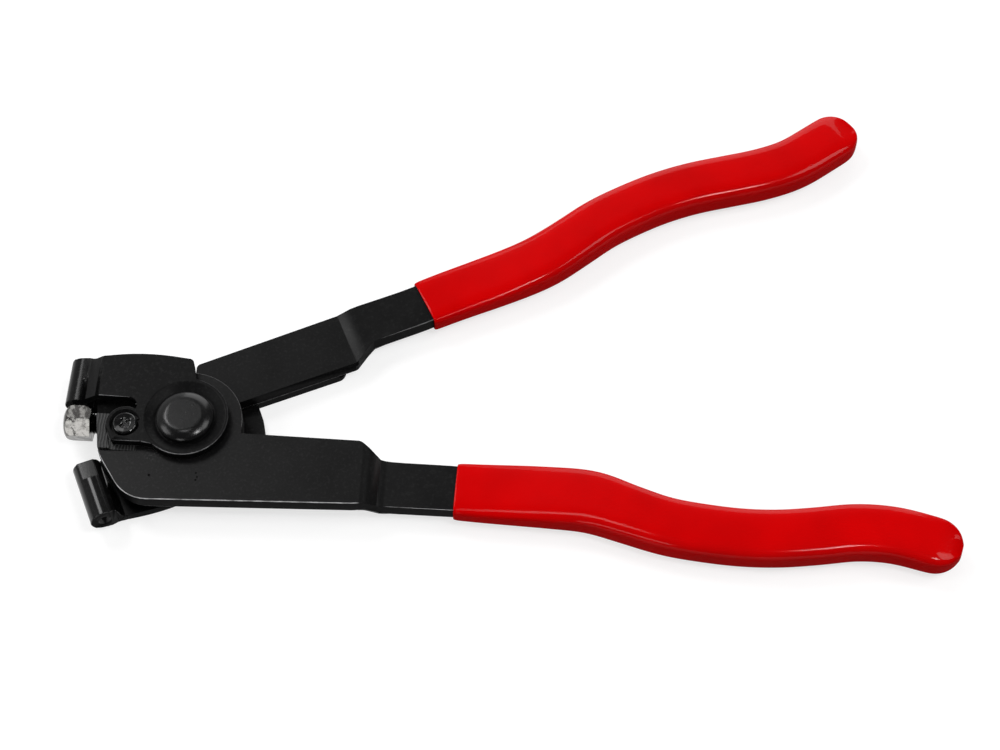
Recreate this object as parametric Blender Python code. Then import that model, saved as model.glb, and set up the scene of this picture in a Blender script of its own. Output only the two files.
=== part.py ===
"""Ear clamp pliers, modelled piece by piece in metres, +Z up.

The origin is the centre of the pivot pin's flat foot.  +X runs along the tool's axis towards the
handles.  Each side of the pliers is drawn closed, then an empty on the pivot's axis swings it open,
as the photographed tool lies.  The lower side carries the upper jaw, because the sides cross at the
pivot.
"""
import math

import bmesh
import bpy
from mathutils import Matrix, Vector

# How far each side is swung open from the closed pose
OPEN_HALF_ANGLE = math.radians(12.6)

# The stack of four plates, which starts on the table at height zero
JAW_THICKNESS = 0.0026
HANDLE_THICKNESS = 0.0042
PLATE_GAP = 0.0002
UPPER_HANDLE_BOTTOM = JAW_THICKNESS + PLATE_GAP
LOWER_HANDLE_BOTTOM = UPPER_HANDLE_BOTTOM + HANDLE_THICKNESS + PLATE_GAP
UPPER_JAW_BOTTOM = LOWER_HANDLE_BOTTOM + HANDLE_THICKNESS + PLATE_GAP
STACK_TOP = UPPER_JAW_BOTTOM + JAW_THICKNESS
MID_HEIGHT = STACK_TOP / 2

# Gap round every pin, screw and nut in its hole
FIT_GAP = 0.0001

# Pivot
PIN_RADIUS = 0.005
PIN_HEAD_RADIUS = 0.0077
PIN_HEAD_HEIGHT = 0.0024
PIN_CROWN_WIDTH = 0.0030
PIN_CROWN_HEIGHT = 0.0016
PIN_DIMPLE_RADIUS = 0.0007
PIN_DIMPLE_DEPTH = 0.0004
NUT_RADIUS = 0.007
NUT_THICKNESS = 0.0024
DISH_RADIUS = 0.0109
DISH_FLOOR_RADIUS = 0.0081
DISH_DEPTH = 0.0012

# Jaw tips, rolled into round eyes that meet end to end
UPPER_REACH = 0.0304
LOWER_REACH = 0.0287
EYE_RADIUS = 0.0038
EYE_BORE_RADIUS = 0.0017
EYE_OUTER_END = 0.0183
LOWER_EYE_INNER_END = 0.0012
EYE_TOP_ANGLE = math.radians(84)
EYE_THROAT_ANGLE = math.radians(-12)
EYE_CUT_LENGTH = 0.0052
EYE_CUT_DEPTH = 0.00066
SHOULDER_OFFSET = 0.0016
SHOULDER_RADIUS = 0.0028
BEND_OFFSET = 0.0058
BEND_RADIUS = 0.0022
THROAT_OFFSET = 0.0050
THROAT_RADIUS = 0.0007
WAIST_OFFSET = 0.0036
WAIST_DROP = 0.0010
WAIST_RADIUS = 0.0026

# Outer edge of the jaw plates
BELLY_X = -0.0115
BELLY_DROP = 0.0010
UPPER_BELLY_Y = 0.0188
LOWER_BELLY_Y = 0.0176
BELLY_RADIUS = 0.060
JAW_CORNER_X = 0.0001
JAW_CORNER_RADIUS = 0.0016

# Upper jaw plate
UPPER_DISC_RADIUS = 0.0117
NOTCH_ANGLE = math.radians(82)
SLOT_EDGE = 0.0050
SLOT_END_X = -0.0125
SLOT_END_RADIUS = 0.0024
JAW_SCREW_X = -0.0158
JAW_SCREW_Y = -0.0029
LOBE_RADIUS = 0.0050
LOBE_BOTTOM = -0.0084
LOBE_LEFT = -0.0186
LOBE_RIGHT = -0.0108
LOBE_CORNER_RADIUS = 0.0010
LOBE_WAIST_RADIUS = 0.0024
LOBE_START_ANGLE = math.radians(212)
LOBE_END_ANGLE = math.radians(62)
LOBE_JOIN_ANGLE = math.radians(-131)

# Lower jaw plate
HEEL_RADIUS = 0.0205
HEEL_START_ANGLE = math.radians(42)
HEEL_END_ANGLE = math.radians(-2)
HEEL_CORNER_X = 0.0080
HEEL_CORNER_DROP = 0.0006
HEEL_CORNER_RADIUS = 0.006
TAIL_LENGTH = 0.047
TAIL_WIDTH = 0.0092
TAIL_CORNER_RADIUS = 0.003
TAIL_ROOT_ANGLE = math.radians(-78)
NECK_ANGLE = math.radians(-188)
NECK_X = -0.0190
NECK_RADIUS = 0.004
TAIL_SCREW_FRONT_X = 0.026
TAIL_SCREW_REAR_X = 0.040
TAIL_SCREW_RADIUS = 0.0016
TAIL_SCREW_HEAD_RADIUS = 0.0030
TAIL_SCREW_HEAD_HEIGHT = 0.0014
TAIL_SCREW_REACH = 0.0026
TAIL_SCREW_SINK = 0.0002
TAIL_HOLE_SPARE = 0.0004

# Handle heads
DISC_RADIUS = 0.0152
HEAD_INNER = 0.0030
LOWER_HEAD_END = 0.0475
UPPER_HEAD_END = 0.0498
HEAD_CORNER_RADIUS = 0.0022
CROTCH_ANGLE = math.radians(11.4)
NOSE_GAP = 0.0003
NOSE_RADIUS = LOWER_REACH - EYE_RADIUS - NOSE_GAP
NOSE_END_ANGLE = math.radians(-146)
NOSE_CORNER_X = -0.0132
NOSE_CORNER_Y = 0.0242
NOSE_CORNER_RADIUS = 0.0105
LOWER_HEAD_OUTER = 0.0219
LOWER_HEAD_RADIUS = 0.012
UPPER_HEAD_OUTER = 0.0193
UPPER_HEAD_ROOT_X = 0.0084
UPPER_HEAD_ROOT_Y = 0.0183
UPPER_HEAD_ROOT_RADIUS = 0.0016
UPPER_HEAD_JOIN_ANGLE = math.radians(64)
EDGE_BREAK = 0.00025

# Joggle that brings both shanks to one height
SHANK_MIDDLE = 0.0060
JOGGLE_START = 0.0495
JOGGLE_LENGTH = 0.0042

# Shank and grip follow one centre line, given as shares of the handle's length and of its bow
HANDLE_LENGTH = 0.203
UPPER_BOW = 0.0234
LOWER_BOW = 0.0228
UPPER_CENTRE_SHARES = (
    (0.20, 0.576), (0.34, 0.576), (0.394, 0.60), (0.493, 0.626), (0.542, 0.67),
    (0.591, 0.78), (0.64, 0.904), (0.69, 0.97), (0.739, 1.0), (0.788, 0.983),
    (0.837, 0.924), (0.887, 0.865), (0.936, 0.862), (0.985, 0.957), (1.04, 1.08),
)
LOWER_CENTRE_SHARES = (
    (0.20, 0.61), (0.34, 0.61), (0.394, 0.617), (0.493, 0.623), (0.542, 0.65),
    (0.591, 0.783), (0.64, 0.91), (0.69, 0.971), (0.739, 1.0), (0.788, 0.985),
    (0.837, 0.926), (0.887, 0.853), (0.936, 0.86), (0.985, 0.956), (1.04, 1.08),
)
LOWER_SHANK_START = 0.0530
UPPER_SHANK_START = 0.0562
UPPER_SHANK_WIDTH = 0.0124
LOWER_SHANK_WIDTH = 0.0134
SHANK_END_WIDTH = 0.0096
SHANK_END = 0.190
SHANK_RINGS = 44
GRIP_START = 0.0736
UPPER_GRIP_END = 0.2042
LOWER_GRIP_END = 0.2002
GRIP_WIDTH = 0.0157
UPPER_WIDTH_SHARES = (
    (0, 0.955), (0.10, 0.965), (0.25, 0.965), (0.4, 0.945), (0.55, 0.935), (0.75, 0.945), (1, 0.94),
)
LOWER_WIDTH_SHARES = (
    (0, 0.99), (0.08, 1.03), (0.16, 1.055), (0.28, 1.06), (0.36, 1.0), (0.44, 0.965), (1, 0.94),
)
GRIP_HEIGHT = 0.0092
GRIP_HEIGHT_SHARES = ((0, 0.67), (0.10, 0.71), (0.22, 0.86), (0.35, 1.0), (0.90, 1.0), (1, 0.97))
GRIP_SQUARENESS = 4.6
GRIP_TIP_ROUNDNESS = 0.75
GRIP_LIP_LENGTH = 0.0005
GRIP_LIP_SHARE = 0.96
GRIP_RINGS = 40
GRIP_SIDES = 32
GRIP_TIP_RINGS = 6
POCKET_GAP = 0.0003
SLOPE_STEP = 0.001

# What differs between the two handles: bow, centre line, shank start, shank width, grip end, grip widths
UPPER_FORM = (UPPER_BOW, UPPER_CENTRE_SHARES, UPPER_SHANK_START, UPPER_SHANK_WIDTH, UPPER_GRIP_END,
              UPPER_WIDTH_SHARES)
LOWER_FORM = (LOWER_BOW, LOWER_CENTRE_SHARES, LOWER_SHANK_START, LOWER_SHANK_WIDTH, LOWER_GRIP_END,
              LOWER_WIDTH_SHARES)

# Stop screw and its block
STOP_ACROSS_FLATS = 0.008
STOP_HEAD_OFFSET = 0.0032
STOP_HEAD_END = (UPPER_REACH + LOWER_REACH) / 2 - STOP_HEAD_OFFSET
STOP_HEAD_LENGTH = 0.0074
STOP_CHAMFER = 0.0013
STOP_RADIUS = 0.0029
STOP_END = 0.0196
BLOCK_BORE_END = 0.0181
BLOCK_NOSE_LEAD = 0.0002
BLOCK_SLANT = 0.0024
BLOCK_PAD_GAP = 0.0004
BLOCK_LEFT_TOP = NOSE_RADIUS + BLOCK_NOSE_LEAD
BLOCK_LEFT_BOTTOM = BLOCK_LEFT_TOP - BLOCK_SLANT
BLOCK_STEP_X = 0.0155
BLOCK_RIGHT = 0.0122
BLOCK_TOP = 0.0042
BLOCK_BOTTOM = 0.0098
BLOCK_FLOOR = 0.0036
BLOCK_RISE = 0.0008
BLOCK_PAD_TOP = 0.0006
BLOCK_SLOT_DEPTH = 0.0009
BLOCK_WING_INSET = 0.0006
BLOCK_WING_RIGHT = 0.0156
BLOCK_WING_REACH = 0.0066
BLOCK_WING_BOTTOM = 0.0040
BLOCK_WING_TOP = 0.0067
BLOCK_GAP = 0.0003

# Screw in the upper jaw's lobe
JAW_SCREW_RADIUS = 0.0016
JAW_SCREW_HEAD_RADIUS = 0.0033
JAW_SCREW_HEAD_HEIGHT = 0.0013
JAW_SCREW_CROWN = 0.0005
JAW_SCREW_REACH = 0.0030
JAW_SCREW_SPARE = 0.0003
COUNTERBORE_RADIUS = 0.0041
COUNTERBORE_DEPTH = 0.0015
RECESS_RADIUS = 0.0012
RECESS_DEPTH = 0.0007

# How finely round shapes are cut, and how far cutters run past the metal
ARC_STEP = math.radians(9)
BELLY_STEP = math.radians(3)
ROUND_SIDES = 48
SMALL_SIDES = 28
OVERRUN = 0.001
MERGE_DISTANCE = 0.00001
SHARP_ANGLE = math.radians(35)
STEEL_DARK = (0.018, 0.018, 0.020)
STEEL_PIN = (0.030, 0.030, 0.033)
STEEL_BRIGHT = (0.72, 0.71, 0.68)
GRIP_RED = (0.62, 0.006, 0.010)


def clear_scene():
    for obj in list(bpy.data.objects):
        bpy.data.objects.remove(obj, do_unlink=True)


def make_material(name, colour, roughness, metallic):
    material = bpy.data.materials.new(name)
    material.use_nodes = True
    shader = material.node_tree.nodes["Principled BSDF"]
    shader.inputs["Base Color"].default_value = (*colour, 1)
    shader.inputs["Roughness"].default_value = roughness
    shader.inputs["Metallic"].default_value = metallic
    return material


def make_object(name, bm, material, parent):
    """Turns a bmesh into a named object with smooth round faces and sharp edges."""
    bmesh.ops.recalc_face_normals(bm, faces=bm.faces)
    mesh = bpy.data.meshes.new(name)
    bm.to_mesh(mesh)
    bm.free()
    mesh.materials.append(material)
    mesh.shade_smooth()
    mesh.set_sharp_from_angle(angle=SHARP_ANGLE)
    obj = bpy.data.objects.new(name, mesh)
    bpy.context.scene.collection.objects.link(obj)
    obj.parent = parent
    return obj


def combine(target, label, bm, operation):
    """Joins, cuts or trims an object with a hidden helper by an exact Boolean."""
    helper = make_object(target.name + "_" + label, bm, target.data.materials[0], target.parent)
    helper.hide_render = True
    helper.display_type = "WIRE"
    modifier = target.modifiers.new(label, "BOOLEAN")
    modifier.object = helper
    modifier.operation = operation
    modifier.solver = "EXACT"


def arc(radius, start, end, centre=(0, 0), step=ARC_STEP):
    """Points along a circle from one angle to another, either way round."""
    count = max(2, math.ceil(abs(end - start) / step))
    points = []
    for i in range(count + 1):
        angle = start + (end - start) * i / count
        points.append((centre[0] + radius * math.cos(angle), centre[1] + radius * math.sin(angle)))
    return points


def rounded(corners):
    """An outline in which a corner (x, y, radius) is rounded and a corner (x, y) is kept."""
    points = []
    count = len(corners)
    for i, corner in enumerate(corners):
        here = Vector(corner[:2])
        if len(corner) == 2:
            points.append(tuple(here))
            continue
        radius = corner[2]
        to_last = (Vector(corners[i - 1][:2]) - here).normalized()
        to_next = (Vector(corners[(i + 1) % count][:2]) - here).normalized()
        half = to_last.angle(to_next) / 2
        middle = here + (to_last + to_next).normalized() * radius / math.sin(half)
        first = here + to_last * radius / math.tan(half) - middle
        last = here + to_next * radius / math.tan(half) - middle
        start = math.atan2(first.y, first.x)
        points += arc(radius, start, start - first.angle_signed(last), middle)
    return points


def sweep(rings):
    """A closed solid through rings of equal count, with flat ends."""
    bm = bmesh.new()
    loops = [[bm.verts.new(point) for point in ring] for ring in rings]
    for ring, following in zip(loops, loops[1:]):
        for i in range(len(ring)):
            j = (i + 1) % len(ring)
            bm.faces.new((ring[i], ring[j], following[j], following[i]))
    bm.faces.new(loops[0])
    bm.faces.new(loops[-1])
    return bm


def plate(outline, bottom, top):
    """A flat plate cut to an outline."""
    return sweep([[(x, y, z) for x, y in outline] for z in (bottom, top)])


def break_edges(bm):
    """Chamfers the top and bottom rims of a plate."""
    rims = set()
    for face in bm.faces:
        if len(face.edges) > 4:
            rims.update(face.edges)
    bmesh.ops.bevel(bm, geom=list(rims), offset=EDGE_BREAK, offset_type="OFFSET", segments=1,
                    profile=0.5, affect="EDGES", material=-1)


def turned(profile, sides):
    """A solid turned about Z from (radius, height) points."""
    bm = bmesh.new()
    verts = [bm.verts.new((radius, 0, height)) for radius, height in profile]
    edges = [bm.edges.new(pair) for pair in zip(verts, verts[1:])]
    bmesh.ops.spin(bm, geom=verts + edges, cent=(0, 0, 0), axis=(0, 0, 1), angle=2 * math.pi,
                   steps=sides, use_merge=True)
    bmesh.ops.remove_doubles(bm, verts=bm.verts, dist=MERGE_DISTANCE)
    return bm


def drum(radius, bottom, top, sides=ROUND_SIDES):
    """A plain cylinder about Z."""
    return turned([(0, bottom), (radius, bottom), (radius, top), (0, top)], sides)


def placed(bm, x, y):
    bmesh.ops.translate(bm, verts=bm.verts, vec=(x, y, 0))
    return bm


def laid_along_x(bm, height):
    """Lays a piece made about Z down along the tool's axis, at a height."""
    matrix = Matrix.Translation((0, 0, height)) @ Matrix.Rotation(math.pi / 2, 4, "Y")
    bmesh.ops.transform(bm, matrix=matrix, verts=bm.verts)
    return bm


def laid_along_y(bm, x):
    """Lays a piece made about Z down along a jaw's eye."""
    matrix = Matrix.Translation((x, 0, MID_HEIGHT)) @ Matrix.Rotation(-math.pi / 2, 4, "X")
    bmesh.ops.transform(bm, matrix=matrix, verts=bm.verts)
    return bm


def turned_over(bm):
    """Turns a piece drawn for the top of the stack over about the tool's axis."""
    matrix = (Matrix.Translation((0, 0, MID_HEIGHT)) @ Matrix.Rotation(math.pi, 4, "X")
              @ Matrix.Translation((0, 0, -MID_HEIGHT)))
    bmesh.ops.transform(bm, matrix=matrix, verts=bm.verts)
    return bm


def read_curve(table, share):
    """Reads a table of (share, value) pairs along a smooth curve through them."""
    i = 0
    while i < len(table) - 2 and share > table[i + 1][0]:
        i += 1
    before = table[max(i - 1, 0)]
    start = table[i]
    end = table[i + 1]
    after = table[min(i + 2, len(table) - 1)]
    span = end[0] - start[0]
    t = min(max((share - start[0]) / span, 0), 1)
    slope_in = (end[1] - before[1]) / (end[0] - before[0]) * span
    slope_out = (after[1] - start[1]) / (after[0] - start[0]) * span
    rise = t * t * (3 - 2 * t)
    return (start[1] + (end[1] - start[1]) * rise + slope_in * t * (1 - t) ** 2
            - slope_out * t * t * (1 - t))


def centre_at(form, x):
    """A point of a handle's centre line."""
    bow, shares = form[:2]
    return Vector((x, read_curve(shares, x / HANDLE_LENGTH) * bow))


def across_at(form, x):
    """The unit vector across a handle's centre line."""
    along = (centre_at(form, x + SLOPE_STEP) - centre_at(form, x - SLOPE_STEP)).normalized()
    return Vector((-along.y, along.x))


def shank_half_width(form, x):
    """The steel inside the grip narrows evenly towards its end."""
    width = form[3]
    share = max((x - GRIP_START) / (SHANK_END - GRIP_START), 0)
    return (width + (SHANK_END_WIDTH - width) * share) / 2


def shank_edge(form, side):
    """One edge of the shank, from its neck to its end."""
    start = form[2]
    points = []
    for i in range(SHANK_RINGS + 1):
        x = start + (SHANK_END - start) * i / SHANK_RINGS
        points.append(tuple(centre_at(form, x) + across_at(form, x) * side * shank_half_width(form, x)))
    return points


def joggle(bm, bottom):
    """Moves everything beyond the joggle up or down to the shanks' height."""
    step = SHANK_MIDDLE - bottom - HANDLE_THICKNESS / 2
    for x in (JOGGLE_START, JOGGLE_START + JOGGLE_LENGTH):
        bmesh.ops.bisect_plane(bm, geom=bm.verts[:] + bm.edges[:] + bm.faces[:], plane_co=(x, 0, 0),
                               plane_no=(1, 0, 0), dist=MERGE_DISTANCE)
    for vert in bm.verts:
        share = (vert.co.x - JOGGLE_START) / JOGGLE_LENGTH
        vert.co.z += step * min(max(share, 0), 1)


def through_hole(target, label, radius, x=0, y=0, bottom=-OVERRUN, top=STACK_TOP + OVERRUN):
    combine(target, label, placed(drum(radius + FIT_GAP, bottom, top), x, y), "DIFFERENCE")


def lower_handle(material, side):
    """The lower handle, with a round nose and a notch for the stop block."""
    notch_right = -BLOCK_RIGHT + BLOCK_GAP
    notch_top = BLOCK_TOP + BLOCK_GAP
    notch_bottom = -BLOCK_BOTTOM - BLOCK_GAP
    disc_start = math.pi - math.asin(notch_top / DISC_RADIUS)
    nose_start = -math.pi - math.asin(notch_bottom / NOSE_RADIUS)
    inner = [(x, -y) for x, y in shank_edge(LOWER_FORM, -1)]
    outer = [(x, -y) for x, y in reversed(shank_edge(LOWER_FORM, 1))]
    corners = [(notch_right, notch_bottom), (notch_right, notch_top)]
    corners += arc(DISC_RADIUS, disc_start, -CROTCH_ANGLE)
    corners += [(LOWER_HEAD_END, -HEAD_INNER, HEAD_CORNER_RADIUS)]
    corners += inner + outer
    corners += [(LOWER_HEAD_END, -LOWER_HEAD_OUTER, LOWER_HEAD_RADIUS)]
    corners += [(NOSE_CORNER_X, -NOSE_CORNER_Y, NOSE_CORNER_RADIUS)]
    corners += arc(NOSE_RADIUS, NOSE_END_ANGLE, nose_start)
    bm = plate(rounded(corners), LOWER_HANDLE_BOTTOM, LOWER_HANDLE_BOTTOM + HANDLE_THICKNESS)
    break_edges(bm)
    joggle(bm, LOWER_HANDLE_BOTTOM)
    handle = make_object("lower_handle", bm, material, side)
    through_hole(handle, "pivot_hole", PIN_RADIUS)
    return handle


def upper_handle(material, side):
    """The upper handle, with a disc about the pivot and blind holes for the tail screws."""
    corners = arc(DISC_RADIUS, UPPER_HEAD_JOIN_ANGLE, 2 * math.pi + CROTCH_ANGLE)
    corners += [(UPPER_HEAD_END, HEAD_INNER, HEAD_CORNER_RADIUS)]
    corners += shank_edge(UPPER_FORM, -1) + list(reversed(shank_edge(UPPER_FORM, 1)))
    corners += [(UPPER_HEAD_END, UPPER_HEAD_OUTER)]
    corners += [(UPPER_HEAD_ROOT_X, UPPER_HEAD_ROOT_Y, UPPER_HEAD_ROOT_RADIUS)]
    bm = plate(rounded(corners), UPPER_HANDLE_BOTTOM, UPPER_HANDLE_BOTTOM + HANDLE_THICKNESS)
    break_edges(bm)
    joggle(bm, UPPER_HANDLE_BOTTOM)
    handle = make_object("upper_handle", bm, material, side)
    through_hole(handle, "pivot_hole", PIN_RADIUS)
    depth = UPPER_HANDLE_BOTTOM + TAIL_SCREW_REACH + TAIL_HOLE_SPARE
    for label, x in (("front_hole", TAIL_SCREW_FRONT_X), ("rear_hole", TAIL_SCREW_REAR_X)):
        through_hole(handle, label, TAIL_SCREW_RADIUS, x, tail_middle(), -OVERRUN, depth)
    return handle


def jaw_profile(reach, length):
    """A jaw seen along its eye, as (x, z) points: eye, web and plate in one strip."""
    corners = arc(EYE_RADIUS, EYE_TOP_ANGLE, 2 * math.pi + EYE_THROAT_ANGLE, (-reach, MID_HEIGHT))
    corners += [
        (THROAT_OFFSET - reach, UPPER_JAW_BOTTOM, THROAT_RADIUS),
        (length, UPPER_JAW_BOTTOM),
        (length, STACK_TOP),
        (BEND_OFFSET - reach, STACK_TOP, BEND_RADIUS),
        (SHOULDER_OFFSET - reach, MID_HEIGHT + EYE_RADIUS, SHOULDER_RADIUS),
    ]
    return rounded(corners)


def jaw_left_edges(reach, inner_end):
    """The outline round the eye, from its inner end by way of its left to its outer end."""
    left = -reach - EYE_RADIUS - OVERRUN
    return [
        (left, inner_end),
        (left, EYE_OUTER_END),
        (SHOULDER_OFFSET - reach, EYE_OUTER_END),
        (WAIST_OFFSET - reach, EYE_OUTER_END - WAIST_DROP, WAIST_RADIUS),
    ]


def jaw_belly(reach, height):
    """The gently curved outer edge of a jaw plate, between the eye and the pivot."""
    centre = (BELLY_X, height - BELLY_RADIUS)
    start = math.pi / 2 + math.asin((BELLY_X + reach - BEND_OFFSET) / BELLY_RADIUS)
    end = math.pi / 2 - math.asin((JAW_CORNER_X - BELLY_X) / BELLY_RADIUS / 2)
    return arc(BELLY_RADIUS, start, end, centre, BELLY_STEP)


def upper_jaw_outline():
    """A disc about the pivot, a slot over the stop screw and a lobe round the jaw screw."""
    corners = jaw_left_edges(UPPER_REACH, SLOT_EDGE) + jaw_belly(UPPER_REACH, UPPER_BELLY_Y)
    corners += [(JAW_CORNER_X, UPPER_BELLY_Y - BELLY_DROP, JAW_CORNER_RADIUS)]
    corners += arc(UPPER_DISC_RADIUS, NOTCH_ANGLE, LOBE_JOIN_ANGLE)
    corners += [
        (LOBE_RIGHT, LOBE_BOTTOM, LOBE_WAIST_RADIUS),
        (LOBE_LEFT, LOBE_BOTTOM, LOBE_CORNER_RADIUS),
    ]
    corners += arc(LOBE_RADIUS, LOBE_START_ANGLE, LOBE_END_ANGLE, (JAW_SCREW_X, JAW_SCREW_Y))
    corners += [(SLOT_END_X, SLOT_EDGE, SLOT_END_RADIUS)]
    return rounded(corners)


def tail_middle():
    """Where the tail's screws lie beside the tool's axis."""
    return HEAD_INNER + TAIL_WIDTH / 2


def lower_jaw_outline():
    """A round heel and a tail along the upper handle, drawn as if the jaw lay on top."""
    right = EYE_RADIUS - LOWER_REACH
    corners = [(right, SLOT_EDGE), (right, LOWER_EYE_INNER_END)]
    corners += jaw_left_edges(LOWER_REACH, LOWER_EYE_INNER_END) + jaw_belly(LOWER_REACH, LOWER_BELLY_Y)
    corners += [(HEEL_CORNER_X, LOWER_BELLY_Y - HEEL_CORNER_DROP, HEEL_CORNER_RADIUS)]
    corners += arc(HEEL_RADIUS, HEEL_START_ANGLE, HEEL_END_ANGLE)
    corners += [
        (HEEL_RADIUS, -HEAD_INNER),
        (TAIL_LENGTH, -HEAD_INNER, TAIL_CORNER_RADIUS),
        (TAIL_LENGTH, -HEAD_INNER - TAIL_WIDTH, TAIL_CORNER_RADIUS),
    ]
    corners += arc(UPPER_DISC_RADIUS, TAIL_ROOT_ANGLE, NECK_ANGLE)
    corners += [(NECK_X, SLOT_EDGE, NECK_RADIUS)]
    return rounded(corners)


def box(low, high):
    """A block between two corners."""
    bm = bmesh.new()
    bmesh.ops.create_cube(bm, size=1)
    bmesh.ops.scale(bm, verts=bm.verts, vec=Vector(high) - Vector(low))
    bmesh.ops.translate(bm, verts=bm.verts, vec=(Vector(high) + Vector(low)) / 2)
    return bm


def jaw(name, outline, reach, length, over, material, side):
    """The jaw's profile trimmed to its plan outline, then bored along its eye."""
    wide = EYE_OUTER_END + NOSE_RADIUS
    profile = jaw_profile(reach, length)
    strip = sweep([[(x, y, z) for x, z in profile] for y in (-wide, wide)])
    trim = plate(outline, -OVERRUN, STACK_TOP + OVERRUN)
    bore = laid_along_y(drum(EYE_BORE_RADIUS, -OVERRUN, EYE_OUTER_END + OVERRUN, SMALL_SIDES), -reach)
    if over:
        for bm in (strip, trim, bore):
            turned_over(bm)
    piece = make_object(name, strip, material, side)
    combine(piece, "plan", trim, "INTERSECT")
    combine(piece, "eye_bore", bore, "DIFFERENCE")
    return piece


def upper_jaw(material, side):
    """The upper jaw, dished round the pin's head and counterbored for the jaw screw."""
    length = UPPER_DISC_RADIUS + OVERRUN
    piece = jaw("upper_jaw", upper_jaw_outline(), UPPER_REACH, length, False, material, side)
    floor = STACK_TOP - DISH_DEPTH
    dish = turned([(0, floor), (DISH_FLOOR_RADIUS, floor), (DISH_RADIUS, STACK_TOP),
                   (DISH_RADIUS, STACK_TOP + OVERRUN), (0, STACK_TOP + OVERRUN)], ROUND_SIDES)
    combine(piece, "dish", dish, "DIFFERENCE")
    through_hole(piece, "pivot_hole", PIN_RADIUS)
    through_hole(piece, "screw_hole", JAW_SCREW_RADIUS, JAW_SCREW_X, JAW_SCREW_Y)
    counterbore = drum(COUNTERBORE_RADIUS, STACK_TOP - COUNTERBORE_DEPTH, STACK_TOP + OVERRUN)
    combine(piece, "counterbore", placed(counterbore, JAW_SCREW_X, JAW_SCREW_Y), "DIFFERENCE")
    return piece


def lower_jaw(material, side):
    """The lower jaw, with a flat on its eye's inner end and holes for the nut and tail screws."""
    length = TAIL_LENGTH + OVERRUN
    piece = jaw("lower_jaw", lower_jaw_outline(), LOWER_REACH, length, True, material, side)
    cut_end = -LOWER_EYE_INNER_END - EYE_CUT_LENGTH
    cut = box((-LOWER_REACH - EYE_RADIUS, cut_end, MID_HEIGHT + EYE_RADIUS - EYE_CUT_DEPTH),
              (-LOWER_REACH + EYE_RADIUS, OVERRUN, STACK_TOP + OVERRUN))
    combine(piece, "eye_flat", cut, "DIFFERENCE")
    through_hole(piece, "nut_hole", NUT_RADIUS, 0, 0, -OVERRUN, UPPER_HANDLE_BOTTOM + OVERRUN)
    for label, x in (("front_sink", TAIL_SCREW_FRONT_X), ("rear_sink", TAIL_SCREW_REAR_X)):
        sink = turned(tail_screw_profile(-OVERRUN, UPPER_HANDLE_BOTTOM + OVERRUN, FIT_GAP), SMALL_SIDES)
        combine(piece, label, placed(sink, x, tail_middle()), "DIFFERENCE")
    return piece


def pivot_pin(material, side):
    """A pin through the whole stack, with a low round head and a small centre dimple."""
    seat = STACK_TOP - DISH_DEPTH + PLATE_GAP
    top = seat + PIN_HEAD_HEIGHT
    profile = [(0, 0), (PIN_RADIUS, 0), (PIN_RADIUS, seat), (PIN_HEAD_RADIUS, seat)]
    for along, up in arc(1, 0, math.pi / 2):
        profile.append((PIN_HEAD_RADIUS - PIN_CROWN_WIDTH * (1 - along), top - PIN_CROWN_HEIGHT * (1 - up)))
    profile += [(PIN_DIMPLE_RADIUS, top), (0, top - PIN_DIMPLE_DEPTH)]
    return make_object("pivot_pin", turned(profile, ROUND_SIDES), material, side)


def pivot_nut(material, side):
    """The round nut that closes the pin, sunk in the lower jaw's hole."""
    bore = PIN_RADIUS + FIT_GAP
    profile = [(bore, 0), (NUT_RADIUS, 0), (NUT_RADIUS, NUT_THICKNESS), (bore, NUT_THICKNESS), (bore, 0)]
    return make_object("pivot_nut", turned(profile, ROUND_SIDES), material, side)


def jaw_screw(material, side):
    """The low-headed screw that holds the upper jaw's lobe to the stop block."""
    seat = STACK_TOP - COUNTERBORE_DEPTH + PLATE_GAP
    top = seat + JAW_SCREW_HEAD_HEIGHT
    end = UPPER_JAW_BOTTOM - JAW_SCREW_REACH
    profile = [
        (0, end), (JAW_SCREW_RADIUS, end), (JAW_SCREW_RADIUS, seat), (JAW_SCREW_HEAD_RADIUS, seat),
        (JAW_SCREW_HEAD_RADIUS, top - JAW_SCREW_CROWN), (JAW_SCREW_HEAD_RADIUS - JAW_SCREW_CROWN, top),
        (RECESS_RADIUS, top), (RECESS_RADIUS, top - RECESS_DEPTH), (0, top - RECESS_DEPTH),
    ]
    bm = placed(turned(profile, SMALL_SIDES), JAW_SCREW_X, JAW_SCREW_Y)
    return make_object("jaw_screw", bm, material, side)


def tail_screw_profile(bottom, end, gap):
    """A countersunk head under a straight shank, wider all round by a gap."""
    head = TAIL_SCREW_HEAD_RADIUS + gap
    shank = TAIL_SCREW_RADIUS + gap
    return [(0, bottom), (head, bottom), (head, TAIL_SCREW_SINK), (shank, TAIL_SCREW_HEAD_HEIGHT),
            (shank, end), (0, end)]


def tail_screw(name, x, material, side):
    """A countersunk screw that holds the lower jaw's tail to the upper handle."""
    profile = tail_screw_profile(TAIL_SCREW_SINK, UPPER_HANDLE_BOTTOM + TAIL_SCREW_REACH, 0)
    profile.pop(2)
    bm = turned(profile, SMALL_SIDES)
    return make_object(name, placed(bm, x, tail_middle()), material, side)


def lobe_seat_outline():
    """Where the block's pad is cut down to leave room for the upper jaw's lobe."""
    right = OVERRUN - BLOCK_RIGHT
    low = -BLOCK_BOTTOM - OVERRUN
    corners = arc(LOBE_RADIUS + BLOCK_PAD_GAP, LOBE_END_ANGLE, LOBE_START_ANGLE, (JAW_SCREW_X, JAW_SCREW_Y))
    return corners + [(LOBE_LEFT - BLOCK_PAD_GAP, low), (right, low), (right, BLOCK_TOP + OVERRUN)]


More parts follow.
